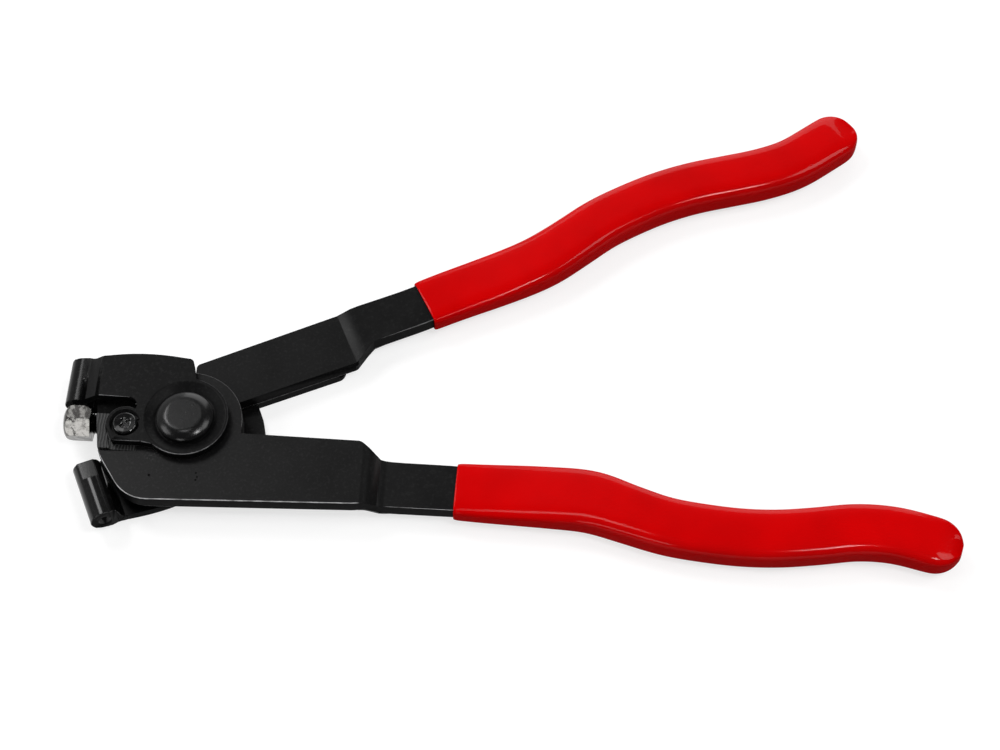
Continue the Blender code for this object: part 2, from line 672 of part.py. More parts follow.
def stop_block(material, side):
    """The block in the lower handle's notch: a deep left part, a raised pad, a shelf and a low wing."""
    shelf = LOWER_HANDLE_BOTTOM + PLATE_GAP
    top = LOWER_HANDLE_BOTTOM + HANDLE_THICKNESS
    rings = []
    for y, left in ((-BLOCK_BOTTOM, -BLOCK_LEFT_BOTTOM), (BLOCK_TOP, -BLOCK_LEFT_TOP)):
        profile = [
            (left, BLOCK_FLOOR), (-BLOCK_STEP_X, BLOCK_FLOOR), (-BLOCK_STEP_X, shelf), (-BLOCK_RIGHT, shelf),
            (-BLOCK_RIGHT, top + BLOCK_RISE), (left, top + BLOCK_RISE),
        ]
        rings.append([(x, y, z) for x, z in profile])
    block = make_object("stop_block", sweep(rings), material, side)
    wing = box((BLOCK_WING_INSET - BLOCK_LEFT_TOP, BLOCK_TOP - OVERRUN, BLOCK_WING_BOTTOM),
               (-BLOCK_WING_RIGHT, BLOCK_WING_REACH, BLOCK_WING_TOP))
    combine(block, "wing", wing, "UNION")
    combine(block, "lobe_seat", plate(lobe_seat_outline(), top, top + BLOCK_RISE + OVERRUN), "DIFFERENCE")
    slot = box((-BLOCK_LEFT_TOP - OVERRUN, BLOCK_PAD_TOP, top - BLOCK_SLOT_DEPTH),
               (-BLOCK_RIGHT + OVERRUN, BLOCK_TOP + OVERRUN, top + BLOCK_RISE + OVERRUN))
    combine(block, "slot", slot, "DIFFERENCE")
    bore = drum(STOP_RADIUS + FIT_GAP, -BLOCK_LEFT_TOP - OVERRUN, -BLOCK_BORE_END, SMALL_SIDES)
    combine(block, "bore", laid_along_x(bore, MID_HEIGHT), "DIFFERENCE")
    depth = UPPER_JAW_BOTTOM - JAW_SCREW_REACH - JAW_SCREW_SPARE
    through_hole(block, "screw_hole", JAW_SCREW_RADIUS, JAW_SCREW_X, JAW_SCREW_Y, depth)
    return block


def stop_screw(material, side):
    """A hexagon screw with its origin on its own axis, flats up and down and a turned chamfer."""
    axis = bpy.data.objects.new("stop_screw_axis", None)
    bpy.context.scene.collection.objects.link(axis)
    axis.location = (0, 0, MID_HEIGHT)
    axis.parent = side
    left = -STOP_HEAD_END - STOP_HEAD_LENGTH
    corner = STOP_ACROSS_FLATS / 2 / math.cos(math.pi / 6)
    rings = []
    for x in (left, -STOP_HEAD_END):
        rings.append([(x, y, z) for y, z in arc(corner, 0, math.pi * 5 / 3, (0, 0), math.pi / 3)])
    screw = make_object("stop_screw", sweep(rings), material, axis)
    flat = STOP_ACROSS_FLATS / 2 - STOP_CHAMFER / 2
    wide = flat + STOP_CHAMFER * 2
    right = OVERRUN - STOP_HEAD_END
    chamfer = turned([(0, left), (flat, left), (wide, left + STOP_CHAMFER), (wide, right), (0, right)],
                     ROUND_SIDES)
    combine(screw, "chamfer", laid_along_x(chamfer, 0), "INTERSECT")
    shank = drum(STOP_RADIUS, -STOP_HEAD_END - OVERRUN, -STOP_END, SMALL_SIDES)
    combine(screw, "shank", laid_along_x(shank, 0), "UNION")
    return screw


def grip_ring(form, x, scale=1, advance=0):
    """One ring of the grip: a rounded rectangle across the centre line."""
    end, width_shares = form[4:]
    share = (x - GRIP_START) / (end - GRIP_START)
    across = across_at(form, x)
    centre = centre_at(form, x) + Vector((across.y, -across.x)) * advance
    half_width = GRIP_WIDTH / 2 * read_curve(width_shares, share) * scale
    half_height = GRIP_HEIGHT / 2 * read_curve(GRIP_HEIGHT_SHARES, share) * scale ** GRIP_TIP_ROUNDNESS
    points = []
    for i in range(GRIP_SIDES):
        angle = 2 * math.pi * (i + 0.5) / GRIP_SIDES
        wide = math.copysign(abs(math.cos(angle)) ** (2 / GRIP_SQUARENESS), math.cos(angle))
        high = math.copysign(abs(math.sin(angle)) ** (2 / GRIP_SQUARENESS), math.sin(angle))
        place = centre + across * wide * half_width
        points.append((place.x, place.y, SHANK_MIDDLE + high * half_height))
    return points


def pocket_ring(form, x):
    """One ring of the pocket for the shank, wider than the steel all round."""
    across = across_at(form, x) * (shank_half_width(form, x) + POCKET_GAP)
    height = HANDLE_THICKNESS / 2 + POCKET_GAP
    left = centre_at(form, x) + across
    right = centre_at(form, x) - across
    return [(left.x, left.y, SHANK_MIDDLE - height), (left.x, left.y, SHANK_MIDDLE + height),
            (right.x, right.y, SHANK_MIDDLE + height), (right.x, right.y, SHANK_MIDDLE - height)]


def grip(name, form, mirrored, material, side):
    """A dipped grip: thin at its mouth, full in the hand, round at its end."""
    end = form[4]
    rings = [grip_ring(form, GRIP_START, GRIP_LIP_SHARE)]
    first = GRIP_START + GRIP_LIP_LENGTH
    for i in range(GRIP_RINGS + 1):
        rings.append(grip_ring(form, first + (end - first) * i / GRIP_RINGS))
    for i in range(1, GRIP_TIP_RINGS):
        turn = math.pi / 2 * i / GRIP_TIP_RINGS
        rings.append(grip_ring(form, end, math.cos(turn), math.sin(turn) * GRIP_WIDTH / 2))
    start = GRIP_START - OVERRUN
    deep = SHANK_END + POCKET_GAP
    pocket = [pocket_ring(form, start + (deep - start) * i / GRIP_RINGS) for i in range(GRIP_RINGS + 1)]
    body = sweep(rings)
    hollow = sweep(pocket)
    if mirrored:
        for bm in (body, hollow):
            bmesh.ops.scale(bm, vec=(1, -1, 1), verts=bm.verts)
    piece = make_object(name, body, material, side)
    combine(piece, "pocket", hollow, "DIFFERENCE")
    return piece


def make_side(name, angle):
    """An empty on the pivot's axis that carries one side of the pliers."""
    side = bpy.data.objects.new(name, None)
    bpy.context.scene.collection.objects.link(side)
    side.rotation_euler = (0, 0, angle)
    return side


def main():
    clear_scene()
    black = make_material("black_steel", STEEL_DARK, 0.38, 0.6)
    dark = make_material("pin_steel", STEEL_PIN, 0.28, 0.8)
    bright = make_material("bright_plate", STEEL_BRIGHT, 0.22, 1)
    red = make_material("red_grip", GRIP_RED, 0.22, 0)
    lower = make_side("lower_side", -OPEN_HALF_ANGLE)
    upper = make_side("upper_side", OPEN_HALF_ANGLE)
    lower_handle(black, lower)
    upper_jaw(black, lower)
    stop_block(black, lower)
    pivot_pin(dark, lower)
    pivot_nut(dark, lower)
    jaw_screw(dark, lower)
    stop_screw(bright, lower)
    grip("lower_grip", LOWER_FORM, True, red, lower)
    upper_handle(black, upper)
    lower_jaw(black, upper)
    tail_screw("lower_jaw_screw_front", TAIL_SCREW_FRONT_X, dark, upper)
    tail_screw("lower_jaw_screw_rear", TAIL_SCREW_REAR_X, dark, upper)
    grip("upper_grip", UPPER_FORM, False, red, upper)


main()
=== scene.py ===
"""Looks for the ear clamp pliers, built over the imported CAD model."""

import math

import bmesh
import bpy
from bpy.props import FloatProperty, FloatVectorProperty, IntProperty, PointerProperty
from mathutils import Matrix, Vector


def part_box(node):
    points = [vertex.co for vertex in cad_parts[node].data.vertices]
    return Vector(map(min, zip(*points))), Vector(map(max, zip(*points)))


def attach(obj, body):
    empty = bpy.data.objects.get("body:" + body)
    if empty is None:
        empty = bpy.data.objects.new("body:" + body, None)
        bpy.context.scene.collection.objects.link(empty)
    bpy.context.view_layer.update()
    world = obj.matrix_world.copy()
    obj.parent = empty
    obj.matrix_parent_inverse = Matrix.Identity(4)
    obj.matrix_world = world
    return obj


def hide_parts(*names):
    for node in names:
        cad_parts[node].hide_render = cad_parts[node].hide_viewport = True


bl_info = {
    "name": "Ear clamp pliers",
    "version": (1, 0, 0),
    "blender": (4, 5, 0),
    "location": "3D View > Sidebar > Pliers",
    "description": "Dresses the packed model of a pair of ear clamp pliers",
    "category": "Object",
}

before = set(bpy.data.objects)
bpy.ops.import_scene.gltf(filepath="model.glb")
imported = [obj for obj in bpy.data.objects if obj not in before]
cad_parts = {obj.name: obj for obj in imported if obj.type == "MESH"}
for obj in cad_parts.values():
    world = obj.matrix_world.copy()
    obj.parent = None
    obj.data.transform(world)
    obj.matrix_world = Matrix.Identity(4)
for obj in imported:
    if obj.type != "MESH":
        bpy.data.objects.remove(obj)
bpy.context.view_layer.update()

# Places and sizes of the CAD model
JAW_SCREW_LOW, JAW_SCREW_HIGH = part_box("jaw_screw")
BLOCK_LOW, BLOCK_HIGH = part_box("stop_block")
GRIP_LOW, GRIP_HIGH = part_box("lower_grip")
PIN_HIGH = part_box("pivot_pin")[1]
REST_TURN = math.radians(12.6)
MID_HEIGHT = 0.0071
HANDLE_TOP = 0.0114

# How the meshes are cleaned, divided and sorted
MERGE_DISTANCE = 0.000005
SHORTEST_EDGE = 0.00005
FLAT_ANGLE = math.radians(1.2)
FACE_JOIN_ANGLE = math.radians(20)
SHAPE_JOIN_ANGLE = math.radians(60)
THREAD_SHARP_ANGLE = math.radians(40)
ROUND_STEPS = 64
PIN_STEPS = 128
DOME_STEPS = 6
THREAD_STEPS = 32
HEXAGON_SIDES = 6
BEND_SEGMENTS = 4
PIN_SEGMENTS = 3
NORMAL_WEIGHT = 100
SKIN_EASE_SHARE = 0.5
UP = (0, 0, 1)

# A bend is rounded where it is longer than this many radii
SHORTEST_BEND = 5

# Slopes of faces, as the height of a unit normal: flats lie above, upright sides below
RIM_FLAT_SLOPE = 0.5
RIM_SIDE_SLOPE = 0.3
BEND_SLOPE = 0.3
CUT_SIDE_SLOPE = 0.05
CHAMFER_SLOPES = (0.4, 0.95)

# Where edges are rubbed most and carry the most painted highlight (those facing the lit front left), and the
# least that a rubbed edge shows
HIGHLIT_AND_WORN_SIDE = Vector((-0.45, -0.89))
LEAST_WEAR_AND_HIGHLIGHT = 0.12

# Forms of the small heads, as shares of their own sizes
PIN_OVERRUN_SHARE = 0.25
CROWN_CORNER_SHARE = 1 / 3
BOWL_EDGE_SHARE = 0.62
BOWL_RISE_SHARE = 0.35
BOWL_FLOOR_SHARE = 0.42

# Single dents, each a place and a radius, and one scuffed patch on the lower handle's head
PLATE_DENTS = (
    ((-0.01106, -0.01482, HANDLE_TOP), 0.00042),
    ((0.00129, -0.01617, HANDLE_TOP), 0.00030),
    ((0.00098, -0.01824, HANDLE_TOP), 0.00034),
    ((0.00145, -0.01741, HANDLE_TOP), 0.00028),
)
PLATE_SCUFF = (-0.0095, -0.0085, HANDLE_TOP)
PLATE_SCUFF_SIZE = 0.0030

# Finishes of the steels: roughness, strength of the plain reflection, bump, and the strength of the rubbed
# edges with their painted highlight
BLACK_FINISH = (0.36, 0.12, 0.30, 1.0)
MARKED_FINISH = (0.35, 0.15, 0.30, 1.0)
JAW_FINISH = (0.38, 0.08, 0.20, 1.0)
# Sawn sides: rougher and duller, with a darker colour that is painted shade on the upright sides
CUT_AND_SHADE_FINISH = (0.55, 0.03, 0.50, 1.0)
MILLED_FINISH = (0.40, 0.25, 0.20, 1.0)
# Painted shade: a dull near-black for the block's faces behind the step, the shelf and the tongue
PAINTED_SHADE_FINISH = (0.60, 0.05, 0.40, 0.0)
PIN_FINISH = (0.22, 0.30, 0.02, 0.10)
SCREW_FINISH = (0.14, 0.40, 0.03, 0.30)

# How strong a clear coat each rolled jaw end has
JAW_COATS = (("Upper jaw steel", 0.16), ("Lower jaw steel", 0.45))

# Noise patterns: scale, detail and roughness
BLOTCH_NOISE = (60.0, 4.0, 0.6)
GRAIN_NOISE = (1300.0, 3.0, 0.6)
PIT_NOISE = (900.0, 1.0, 0.5)
PATCH_NOISE = (380.0, 4.0, 0.65)
SPECK_NOISE = (1500.0, 2.0, 0.5)
MARK_NOISE = (900.0, 4.0, 0.65)
PLATING_WAVES = (420.0, 1.0, 0.5)
GRIP_WAVES = (70.0, 2.0, 0.5)
GRIP_SKIN = (1100.0, 2.0, 0.5)

# Ranges: two values of the source, and the two that they become where those aren't zero and one
PIT_RANGE = (0.76, 0.82)
BLOTCH_RANGE = (0.35, 0.75, 0.0, 0.8)
GRAIN_RANGE = (0.52, 0.74, 0.0, 0.60)
PATCH_RANGE = (0.30, 0.62, 0.25, 1.0)
BLOTCH_ROUGHNESS = (0.3, 0.8, -0.03, 0.06)
SPECK_RANGE = (0.55, 0.68)
LINE_RANGE = (0.45, 1.0, 0.0, 0.5)
MARK_RANGE = (0.50, 0.75)
MARK_ROUGHNESS = (0.3, 0.8, 0.06, 0.20)
GRIP_COLOUR_RANGE = (0.3, 0.7)
GRIP_ROUGHNESS = (0.3, 0.7, 0.25, 0.31)
GRIP_COAT_SHARES = (0.45, 0.75)
GRIP_COAT = (0.04, 0.30)
WORLD_RANGE = (0.30, 0.95, 0.10, 0.72)

# Colours and depths of the marks in the steel
BLOTCH_COLOUR = (0.0050, 0.0050, 0.0052)
GRAIN_COLOUR = (0.015, 0.015, 0.015)
PIT_COLOUR = (0.002, 0.002, 0.002)
DENT_COLOUR = (0.001, 0.001, 0.001)
SCUFF_COLOUR = (0.10, 0.10, 0.10)
LINE_COLOUR = (0.070, 0.070, 0.070)
STEEL_BUMP_DISTANCE = 0.00003
PIT_HEIGHT = -2.0
DENT_HEIGHT = -6.0
WORN_METALLIC_SHARE = 0.3
SCUFF_SHARE = 0.25
BURNISH_ROUGHNESS = -0.16
BURNISH_COAT_ROUGHNESS = 0.12
LINE_SCALE = 380.0
LINE_DISTORTION = 3.0
LINE_DETAIL = 3.0
LINE_BUMP = 0.4

# The plating and the dipped plastic
PLATING_DARK_SHARE = 0.55
PLATING_MARK_SHARE = 0.12
PLATING_BUMP = 1.0
PLATING_BUMP_DISTANCE = 0.00022
GRIP_DEEP_SHARE = 0.86
GRIP_WAVE_HEIGHT = 4.0
GRIP_BUMP = 0.02
GRIP_BUMP_DISTANCE = 0.00005
GRIP_COAT_ROUGHNESS = 0.09

# The stage: each lamp has a name, a place, a width and a power
LAMP_AIM = (0.08, 0.0, 0.0)
LAMPS = (
    ("left_lamp", (-0.40, 0.60, 1.05), 0.40, 4.6),
    ("back_lamp", (0.42, 1.20, 0.46), 0.90, 5.0),
    ("top_lamp", (0.42, -0.36, 1.02), 0.20, 3.0),
    ("over_lamp", (-0.10, 0.04, 1.25), 0.22, 0.8),
    ("left_side_lamp", (-0.95, -0.02, 0.75), 0.50, 3.6),
    ("right_side_lamp", (0.85, -0.08, 0.95), 0.50, 3.6),
    ("front_lamp", (-0.45, -0.95, 0.60), 0.30, 1.2),
)
BRIGHT_SIDE = (-0.40, 0.92, 0.0)
FLOOR_COLOUR = (0.38, 0.38, 0.38, 1)
FLOOR_ROUGHNESS = 0.9
FLOOR_GLOW = 0.69
SENSOR_WIDTH = 36.0
CLIP_START = 0.01


def length_setting(label, about, value):
    """A length in metres, shown in the panel."""
    return FloatProperty(name=label, description=about, default=value, unit="LENGTH", precision=5)


def angle_setting(label, about, degrees):
    """An angle, given in degrees."""
    return FloatProperty(name=label, description=about, default=math.radians(degrees), subtype="ANGLE")


def share_setting(label, about, value):
    """A share from nothing to the whole."""
    return FloatProperty(name=label, description=about, default=value, min=0.0, max=1.0)


def count_setting(label, about, value):
    """A whole number."""
    return IntProperty(name=label, description=about, default=value, min=0)


def colour_setting(label, about, value):
    """A plain colour."""
    return FloatVectorProperty(name=label, description=about, default=value, subtype="COLOR", size=3)


def place_setting(label, about, value):
    """A point or a corner in metres."""
    return FloatVectorProperty(name=label, description=about, default=value, subtype="TRANSLATION", size=3)


class PlateSettings(bpy.types.PropertyGroup):
    """Handles and jaws"""
    edge: length_setting("Edge rounding", "Radius on the edges of the jaws and the upper handle", 0.00020)
    fine_edge: length_setting("Fine edge rounding", "Radius on the lower handle's edges", 0.00018)
    edge_angle: angle_setting("Edge angle", "Edges sharper than this are rounded", 20)
    # Narrow chamfers and rims are coloured lighter: partly rubbed steel, partly a painted highlight
    # strongest on edges facing the front left
    rubbed_and_highlit_width: length_setting("Rubbed width", "Faces narrower than this are rubbed bright", 0.0005)
    handle_reach: length_setting("Handle reach", "How far from the pivot the handles are rubbed", 0.150)
    jaw_reach: length_setting("Jaw reach", "How far from the pivot the jaws are rubbed", 0.0205)
    steel: colour_setting("Steel colour", "Colour of the black finished steel", (0.0020, 0.0020, 0.0021))
    # The sawn sides' colour is darker than the plates' tops: painted shade as well as a sawn finish
    cut: colour_setting("Shaded cut steel colour", "Colour of the sawn sides of the plates",
                        (0.0016, 0.0016, 0.0017))
    # Both edge colours below are partly rubbed steel and partly painted highlight
    worn_and_highlit: colour_setting("Worn edge colour", "Colour of the steel on rubbed edges", (0.22, 0.22, 0.225))
    bright: colour_setting("Bright edge colour", "Colour on the lower handle's rubbed edges",
                           (0.62, 0.62, 0.63))
    bend: length_setting("Bend rounding", "Radius on the bends that run across the plates", 0.0014)
    toe_low: place_setting("Toe low corner", "Low corner of the lower jaw's inner toe",
                           (-0.02485, -0.0052, 0.0002))
    toe_high: place_setting("Toe high corner", "High corner of the lower jaw's inner toe",
                            (-0.0220, 0.0022, 0.0020))
    burnish_start: length_setting("Burnish start", "Height from the middle where gloss begins", 0.0044)
    burnish_end: length_setting("Burnish end", "Height from the middle where gloss is full", 0.0037)


class BlockSettings(bpy.types.PropertyGroup):
    """The stop block"""
    # Painted shade: this near-black colours the block behind the step, the shelf and the tongue
    recess: colour_setting("Recess colour", "Colour of the unlit steel behind the step",
                           (0.0015, 0.0015, 0.0015))
    edge: length_setting("Edge rounding", "Radius on the block's edges", 0.00008)
    left: length_setting("Left end", "From the pivot's axis to the shelf's outer end", 0.0247)
    trim: length_setting("Step place", "From the screw's axis to the step behind the lobe", 0.0014)
    step: length_setting("Step depth", "How far the block steps down there", 0.0019)
    shelf_bottom: length_setting("Shelf bottom", "Height of the shelf's underside", 0.0072)
    shelf_top: length_setting("Shelf top", "Height of the shelf's top", 0.0078)
    shelf_start: length_setting("Shelf start", "From the screw's axis to the shelf's near edge", 0.0034)
    shelf_reach: length_setting("Shelf reach", "From the screw's axis to the shelf's far edge", 0.0080)
    shelf_right: length_setting("Shelf right end", "From the pivot's axis to its inner end", 0.0122)
    tongue_low: place_setting("Tongue low corner", "Low corner of the tongue below the jaw",
                              (-0.0278, 0.0051, 0.0036))
    tongue_high: place_setting("Tongue high corner", "High corner of that tongue",
                               (-0.0200, 0.0100, 0.0042))


class PinSettings(bpy.types.PropertyGroup):
    """The pivot pin and the screws"""
    edge: length_setting("Edge rounding", "Radius on the edges of pins and screws", 0.00012)
    colour: colour_setting("Pin colour", "Colour of the dark polished pins", (0.004, 0.004, 0.0042))
    flat_radius: length_setting("Pin flat", "Radius of the flat top of the pin's head", 0.0055)
    blend: length_setting("Pin blend", "Half the width of the soft bend around that flat", 0.0013)
    rim_height: length_setting("Pin rim", "Height at which the head's conical crown ends", 0.0143)
    shank: length_setting("Screw shank", "Radius of the jaw screw's shank", 0.0016)
    head_height: length_setting("Screw head", "Height of the jaw screw's head", 0.0013)
    crown: length_setting("Screw crown", "Rounding of the jaw screw's rim", 0.0005)
    hollow: length_setting("Screw hollow", "Depth of the jaw screw's dished head", 0.0006)
    recess: length_setting("Cross recess", "Length of each slot of the jaw screw's cross", 0.0034)
    recess_width: length_setting("Cross width", "Width of each slot of the cross", 0.0008)
    recess_depth: length_setting("Cross depth", "Depth of the cross below the hollow", 0.0004)
    cross_turn: angle_setting("Cross turn", "How far the cross is turned", 25)


class StopSettings(bpy.types.PropertyGroup):
    """The stop screw"""
    flats: length_setting("Across flats", "Width of the hexagon between its flats", 0.0086)
    roll: angle_setting("Hexagon roll", "How far the top flat leans to the front", 16)
    length: length_setting("Head length", "Length of the hexagon head", 0.0075)
    edge: length_setting("Edge rounding", "Radius on the head's edges", 0.0005)
    dome: length_setting("Dome length", "Length of the turned dome on the head's end", 0.0023)
    dome_face_share: share_setting("Dome face", "Radius of the dome's flat, by the corners' radius", 0.42)
    inner_end: length_setting("Head place", "From the pivot's axis to the head's inner end", 0.0259)
    shank: length_setting("Shank radius", "Radius over the thread", 0.00285)
    shank_end: length_setting("Shank end", "From the pivot's axis to the end of the thread", 0.0198)
    pitch: length_setting("Thread pitch", "Distance between turns of the stop screw's thread", 0.0008)
    depth: length_setting("Thread depth", "Depth of the stop screw's thread", 0.00045)
    colour: colour_setting("Plating colour", "Colour of the bright plated head", (0.13, 0.127, 0.121))
    # The thread is coloured far darker than the head
    thread_colour: colour_setting("Thread colour", "Colour of the dimmer thread", (0.03, 0.029, 0.028))


class GripSettings(bpy.types.PropertyGroup):
    """The dipped grips"""
    colour: colour_setting("Grip colour", "Colour of the dipped grips", (0.59, 0.0, 0.0006))
    mouth_crease: share_setting("Mouth crease", "How sharp the rim of the dip stays", 0.8)
    flat_height: length_setting("Flat height", "Above or below the middle by this, the skin is soft",
                                0.0026)
    softening: count_setting("Softening", "How often the edges of the top and underside are eased", 16)
    crease_angle: angle_setting("Crease angle", "Edges sharper than this keep the crease", 50)
    smoothing: count_setting("Smoothing", "How often the grips' faces are divided", 2)


class StageSettings(bpy.types.PropertyGroup):
    """The floor and the camera"""
    lens: FloatProperty(name="Lens", description="Focal length in millimetres", default=81.5)
    distance: length_setting("Camera distance", "From the camera to the middle of the view", 0.629)
    elevation: angle_setting("Camera elevation", "Angle of the view above the floor", 59.4)
    azimuth: angle_setting("Camera azimuth", "Turn of the view about the pivot's axis", -9.0)
    target: place_setting("Target", "Point on the floor in the middle of the view", (0.0867, 0.0077, 0.0))
    floor_size: length_setting("Floor size", "Width of the floor", 8.0)


def new_material(name):
    """A material with its Principled shader and its output."""
    material = bpy.data.materials.new(name)
    material.use_nodes = True
    tree = material.node_tree
    return material, tree, tree.nodes["Principled BSDF"]


def add_node(tree, kind, **values):
    """A node with some of its own settings, such as its operation."""
    node = tree.nodes.new(kind)
    for key, value in values.items():
        setattr(node, key, value)
    return node


def noise_texture(tree, source, pattern):
    """A noise over the object's own coordinates."""
    node = add_node(tree, "ShaderNodeTexNoise")
    for label, value in zip(("Scale", "Detail", "Roughness"), pattern):
        node.inputs[label].default_value = value
    tree.links.new(source, node.inputs["Vector"])
    return node.outputs["Fac"]


def value_range(tree, source, low, high, start=0.0, end=1.0):
    """Maps the stretch of a value from low to high onto start to end."""
    node = add_node(tree, "ShaderNodeMapRange")
    node.inputs["From Min"].default_value = low
    node.inputs["From Max"].default_value = high
    node.inputs["To Min"].default_value = start
    node.inputs["To Max"].default_value = end
    tree.links.new(source, node.inputs["Value"])
    return node.outputs["Result"]


def worked(tree, operation, first, second):
    """One Math node; an input may be a socket or a number."""
    node = add_node(tree, "ShaderNodeMath", operation=operation)
    for socket, value in zip(node.inputs, (first, second)):
        if isinstance(value, (int, float)):
            socket.default_value = value
        else:
            tree.links.new(value, socket)
    return node.outputs[0]


def mixed(tree, factor, first, second):
    """Mixes two colours by a factor."""
    node = add_node(tree, "ShaderNodeMix", data_type="RGBA")
    tree.links.new(factor, node.inputs["Factor"])
    for socket, value in ((node.inputs["A"], first), (node.inputs["B"], second)):
        if isinstance(value, bpy.types.NodeSocket):
            tree.links.new(value, socket)
        else:
            socket.default_value = (*value, 1)
    return node.outputs["Result"]


def object_place(tree):
    """The object's own coordinates, which don't change as the piece moves."""
    return add_node(tree, "ShaderNodeTexCoord").outputs["Object"]


def add_bump(tree, shader, height, strength, distance):
    """Raises a shader's surface by a height."""
    relief = add_node(tree, "ShaderNodeBump")
    relief.inputs["Strength"].default_value = strength
    relief.inputs["Distance"].default_value = distance
    tree.links.new(height, relief.inputs["Height"])
    tree.links.new(relief.outputs["Normal"], shader.inputs["Normal"])


def height_off(tree, middle):
    """How far a point of the object is above or below a height."""
    height = add_node(tree, "ShaderNodeSeparateXYZ")
    tree.links.new(object_place(tree), height.inputs[0])
    return worked(tree, "ABSOLUTE", worked(tree, "SUBTRACT", height.outputs["Z"], middle), 0.0)


def group_with(name, inputs, outputs):
    """An empty node group with named sockets."""
    group = bpy.data.node_groups.new(name, "ShaderNodeTree")
    for side, sockets in (("INPUT", inputs), ("OUTPUT", outputs)):
        for label, kind in sockets:
            group.interface.new_socket(name=label, in_out=side, socket_type=kind)
    return group, group.nodes.new("NodeGroupInput"), group.nodes.new("NodeGroupOutput")


def steel_surface_group():
    """Black finished steel: a fine grain, soft blotches, sparse pits and rubbed edges, whose lighter colour
    is partly rubbing and partly painted highlight.
    """
    group, given, out = group_with(
        "Steel surface",
        (("Colour", "NodeSocketColor"), ("Worn colour", "NodeSocketColor"),
         ("Roughness", "NodeSocketFloat"), ("Wear", "NodeSocketFloat")),
        (("Colour", "NodeSocketColor"), ("Roughness", "NodeSocketFloat"),
         ("Metallic", "NodeSocketFloat"), ("Height", "NodeSocketFloat")))
    place = object_place(group)
    blotch = noise_texture(group, place, BLOTCH_NOISE)
    grain = noise_texture(group, place, GRAIN_NOISE)
    pits = value_range(group, noise_texture(group, place, PIT_NOISE), *PIT_RANGE)
    lighter = mixed(group, value_range(group, blotch, *BLOTCH_RANGE), given.outputs["Colour"], BLOTCH_COLOUR)
    speckled = mixed(group, value_range(group, grain, *GRAIN_RANGE), lighter, GRAIN_COLOUR)
    pitted = mixed(group, pits, speckled, PIT_COLOUR)
    # Faces marked on the mesh turn lighter: partly rubbed steel, partly painted highlight on edges facing
    # the lit front left
    rim = add_node(group, "ShaderNodeAttribute", attribute_name="edge_wear_and_highlight").outputs["Fac"]
    patchy = value_range(group, noise_texture(group, place, PATCH_NOISE), *PATCH_RANGE)
    wear_and_highlight = worked(group, "MULTIPLY", worked(group, "MULTIPLY", rim, patchy), given.outputs["Wear"])
    rough = worked(group, "ADD", given.outputs["Roughness"], value_range(group, blotch, *BLOTCH_ROUGHNESS))
    sunk = worked(group, "MULTIPLY", pits, PIT_HEIGHT)
    group.links.new(mixed(group, wear_and_highlight, pitted, given.outputs["Worn colour"]), out.inputs["Colour"])
    group.links.new(rough, out.inputs["Roughness"])
    group.links.new(worked(group, "MULTIPLY", wear_and_highlight, WORN_METALLIC_SHARE), out.inputs["Metallic"])
    group.links.new(worked(group, "ADD", grain, sunk), out.inputs["Height"])
    return group


def steel_material(name, group, colour, worn_and_highlit, finish):
    """Black steel with one of the finishes."""
    roughness, gloss, bump, wear_and_highlight = finish
    material, tree, shader = new_material(name)
    surface = add_node(tree, "ShaderNodeGroup", node_tree=group)
    surface.inputs["Colour"].default_value = (*colour, 1)
    surface.inputs["Worn colour"].default_value = (*worn_and_highlit, 1)
    surface.inputs["Roughness"].default_value = roughness
    surface.inputs["Wear"].default_value = wear_and_highlight
    shader.inputs["Specular IOR Level"].default_value = gloss
    tree.links.new(surface.outputs["Colour"], shader.inputs["Base Color"])
    for label in ("Roughness", "Metallic"):
        tree.links.new(surface.outputs[label], shader.inputs[label])
    add_bump(tree, shader, surface.outputs["Height"], bump, STEEL_BUMP_DISTANCE)
    return material


def near_place(tree, place, point, radius):
    """One close to a point of the object and nothing further out than the radius."""
    node = add_node(tree, "ShaderNodeVectorMath", operation="DISTANCE")
    tree.links.new(place, node.inputs[0])
    node.inputs[1].default_value = point
    return value_range(tree, node.outputs["Value"], radius / 2, radius, 1.0, 0.0)


def marked_material(material, dents, scuff, scuff_size):
    """Adds a few single dents and one lightly scuffed patch to a steel plate."""
    tree = material.node_tree
    place = object_place(tree)
    surface = tree.nodes["Group"]
    dented = None
    for point, radius in dents:
        one = near_place(tree, place, point, radius)
        dented = one if dented is None else worked(tree, "MAXIMUM", dented, one)
    dark = mixed(tree, dented, surface.outputs["Colour"], DENT_COLOUR)
    patch = near_place(tree, place, scuff, scuff_size)
    specks = value_range(tree, noise_texture(tree, place, SPECK_NOISE), *SPECK_RANGE)
    rubbed = worked(tree, "MULTIPLY", worked(tree, "MULTIPLY", patch, specks), SCUFF_SHARE)
    shader = tree.nodes["Principled BSDF"]
    tree.links.new(mixed(tree, rubbed, dark, SCUFF_COLOUR), shader.inputs["Base Color"])
    tree.links.new(worked(tree, "MAXIMUM", surface.outputs["Metallic"], dented), shader.inputs["Metallic"])
    deep = worked(tree, "MULTIPLY", dented, DENT_HEIGHT)
    tree.links.new(worked(tree, "ADD", surface.outputs["Height"], deep), tree.nodes["Bump"].inputs["Height"])


def burnished_material(material, coat, start, end):
    """Gives a rolled jaw end, near the middle of the stack, a smoother finish than its plate."""
    tree = material.node_tree
    shader = tree.nodes["Principled BSDF"]
    burnish = value_range(tree, height_off(tree, MID_HEIGHT), start, end)
    smoother = worked(tree, "MULTIPLY", burnish, BURNISH_ROUGHNESS)
    tree.links.new(worked(tree, "ADD", tree.nodes["Group"].outputs["Roughness"], smoother),
                   shader.inputs["Roughness"])
    tree.links.new(worked(tree, "MULTIPLY", burnish, coat), shader.inputs["Coat Weight"])
    shader.inputs["Coat Roughness"].default_value = BURNISH_COAT_ROUGHNESS


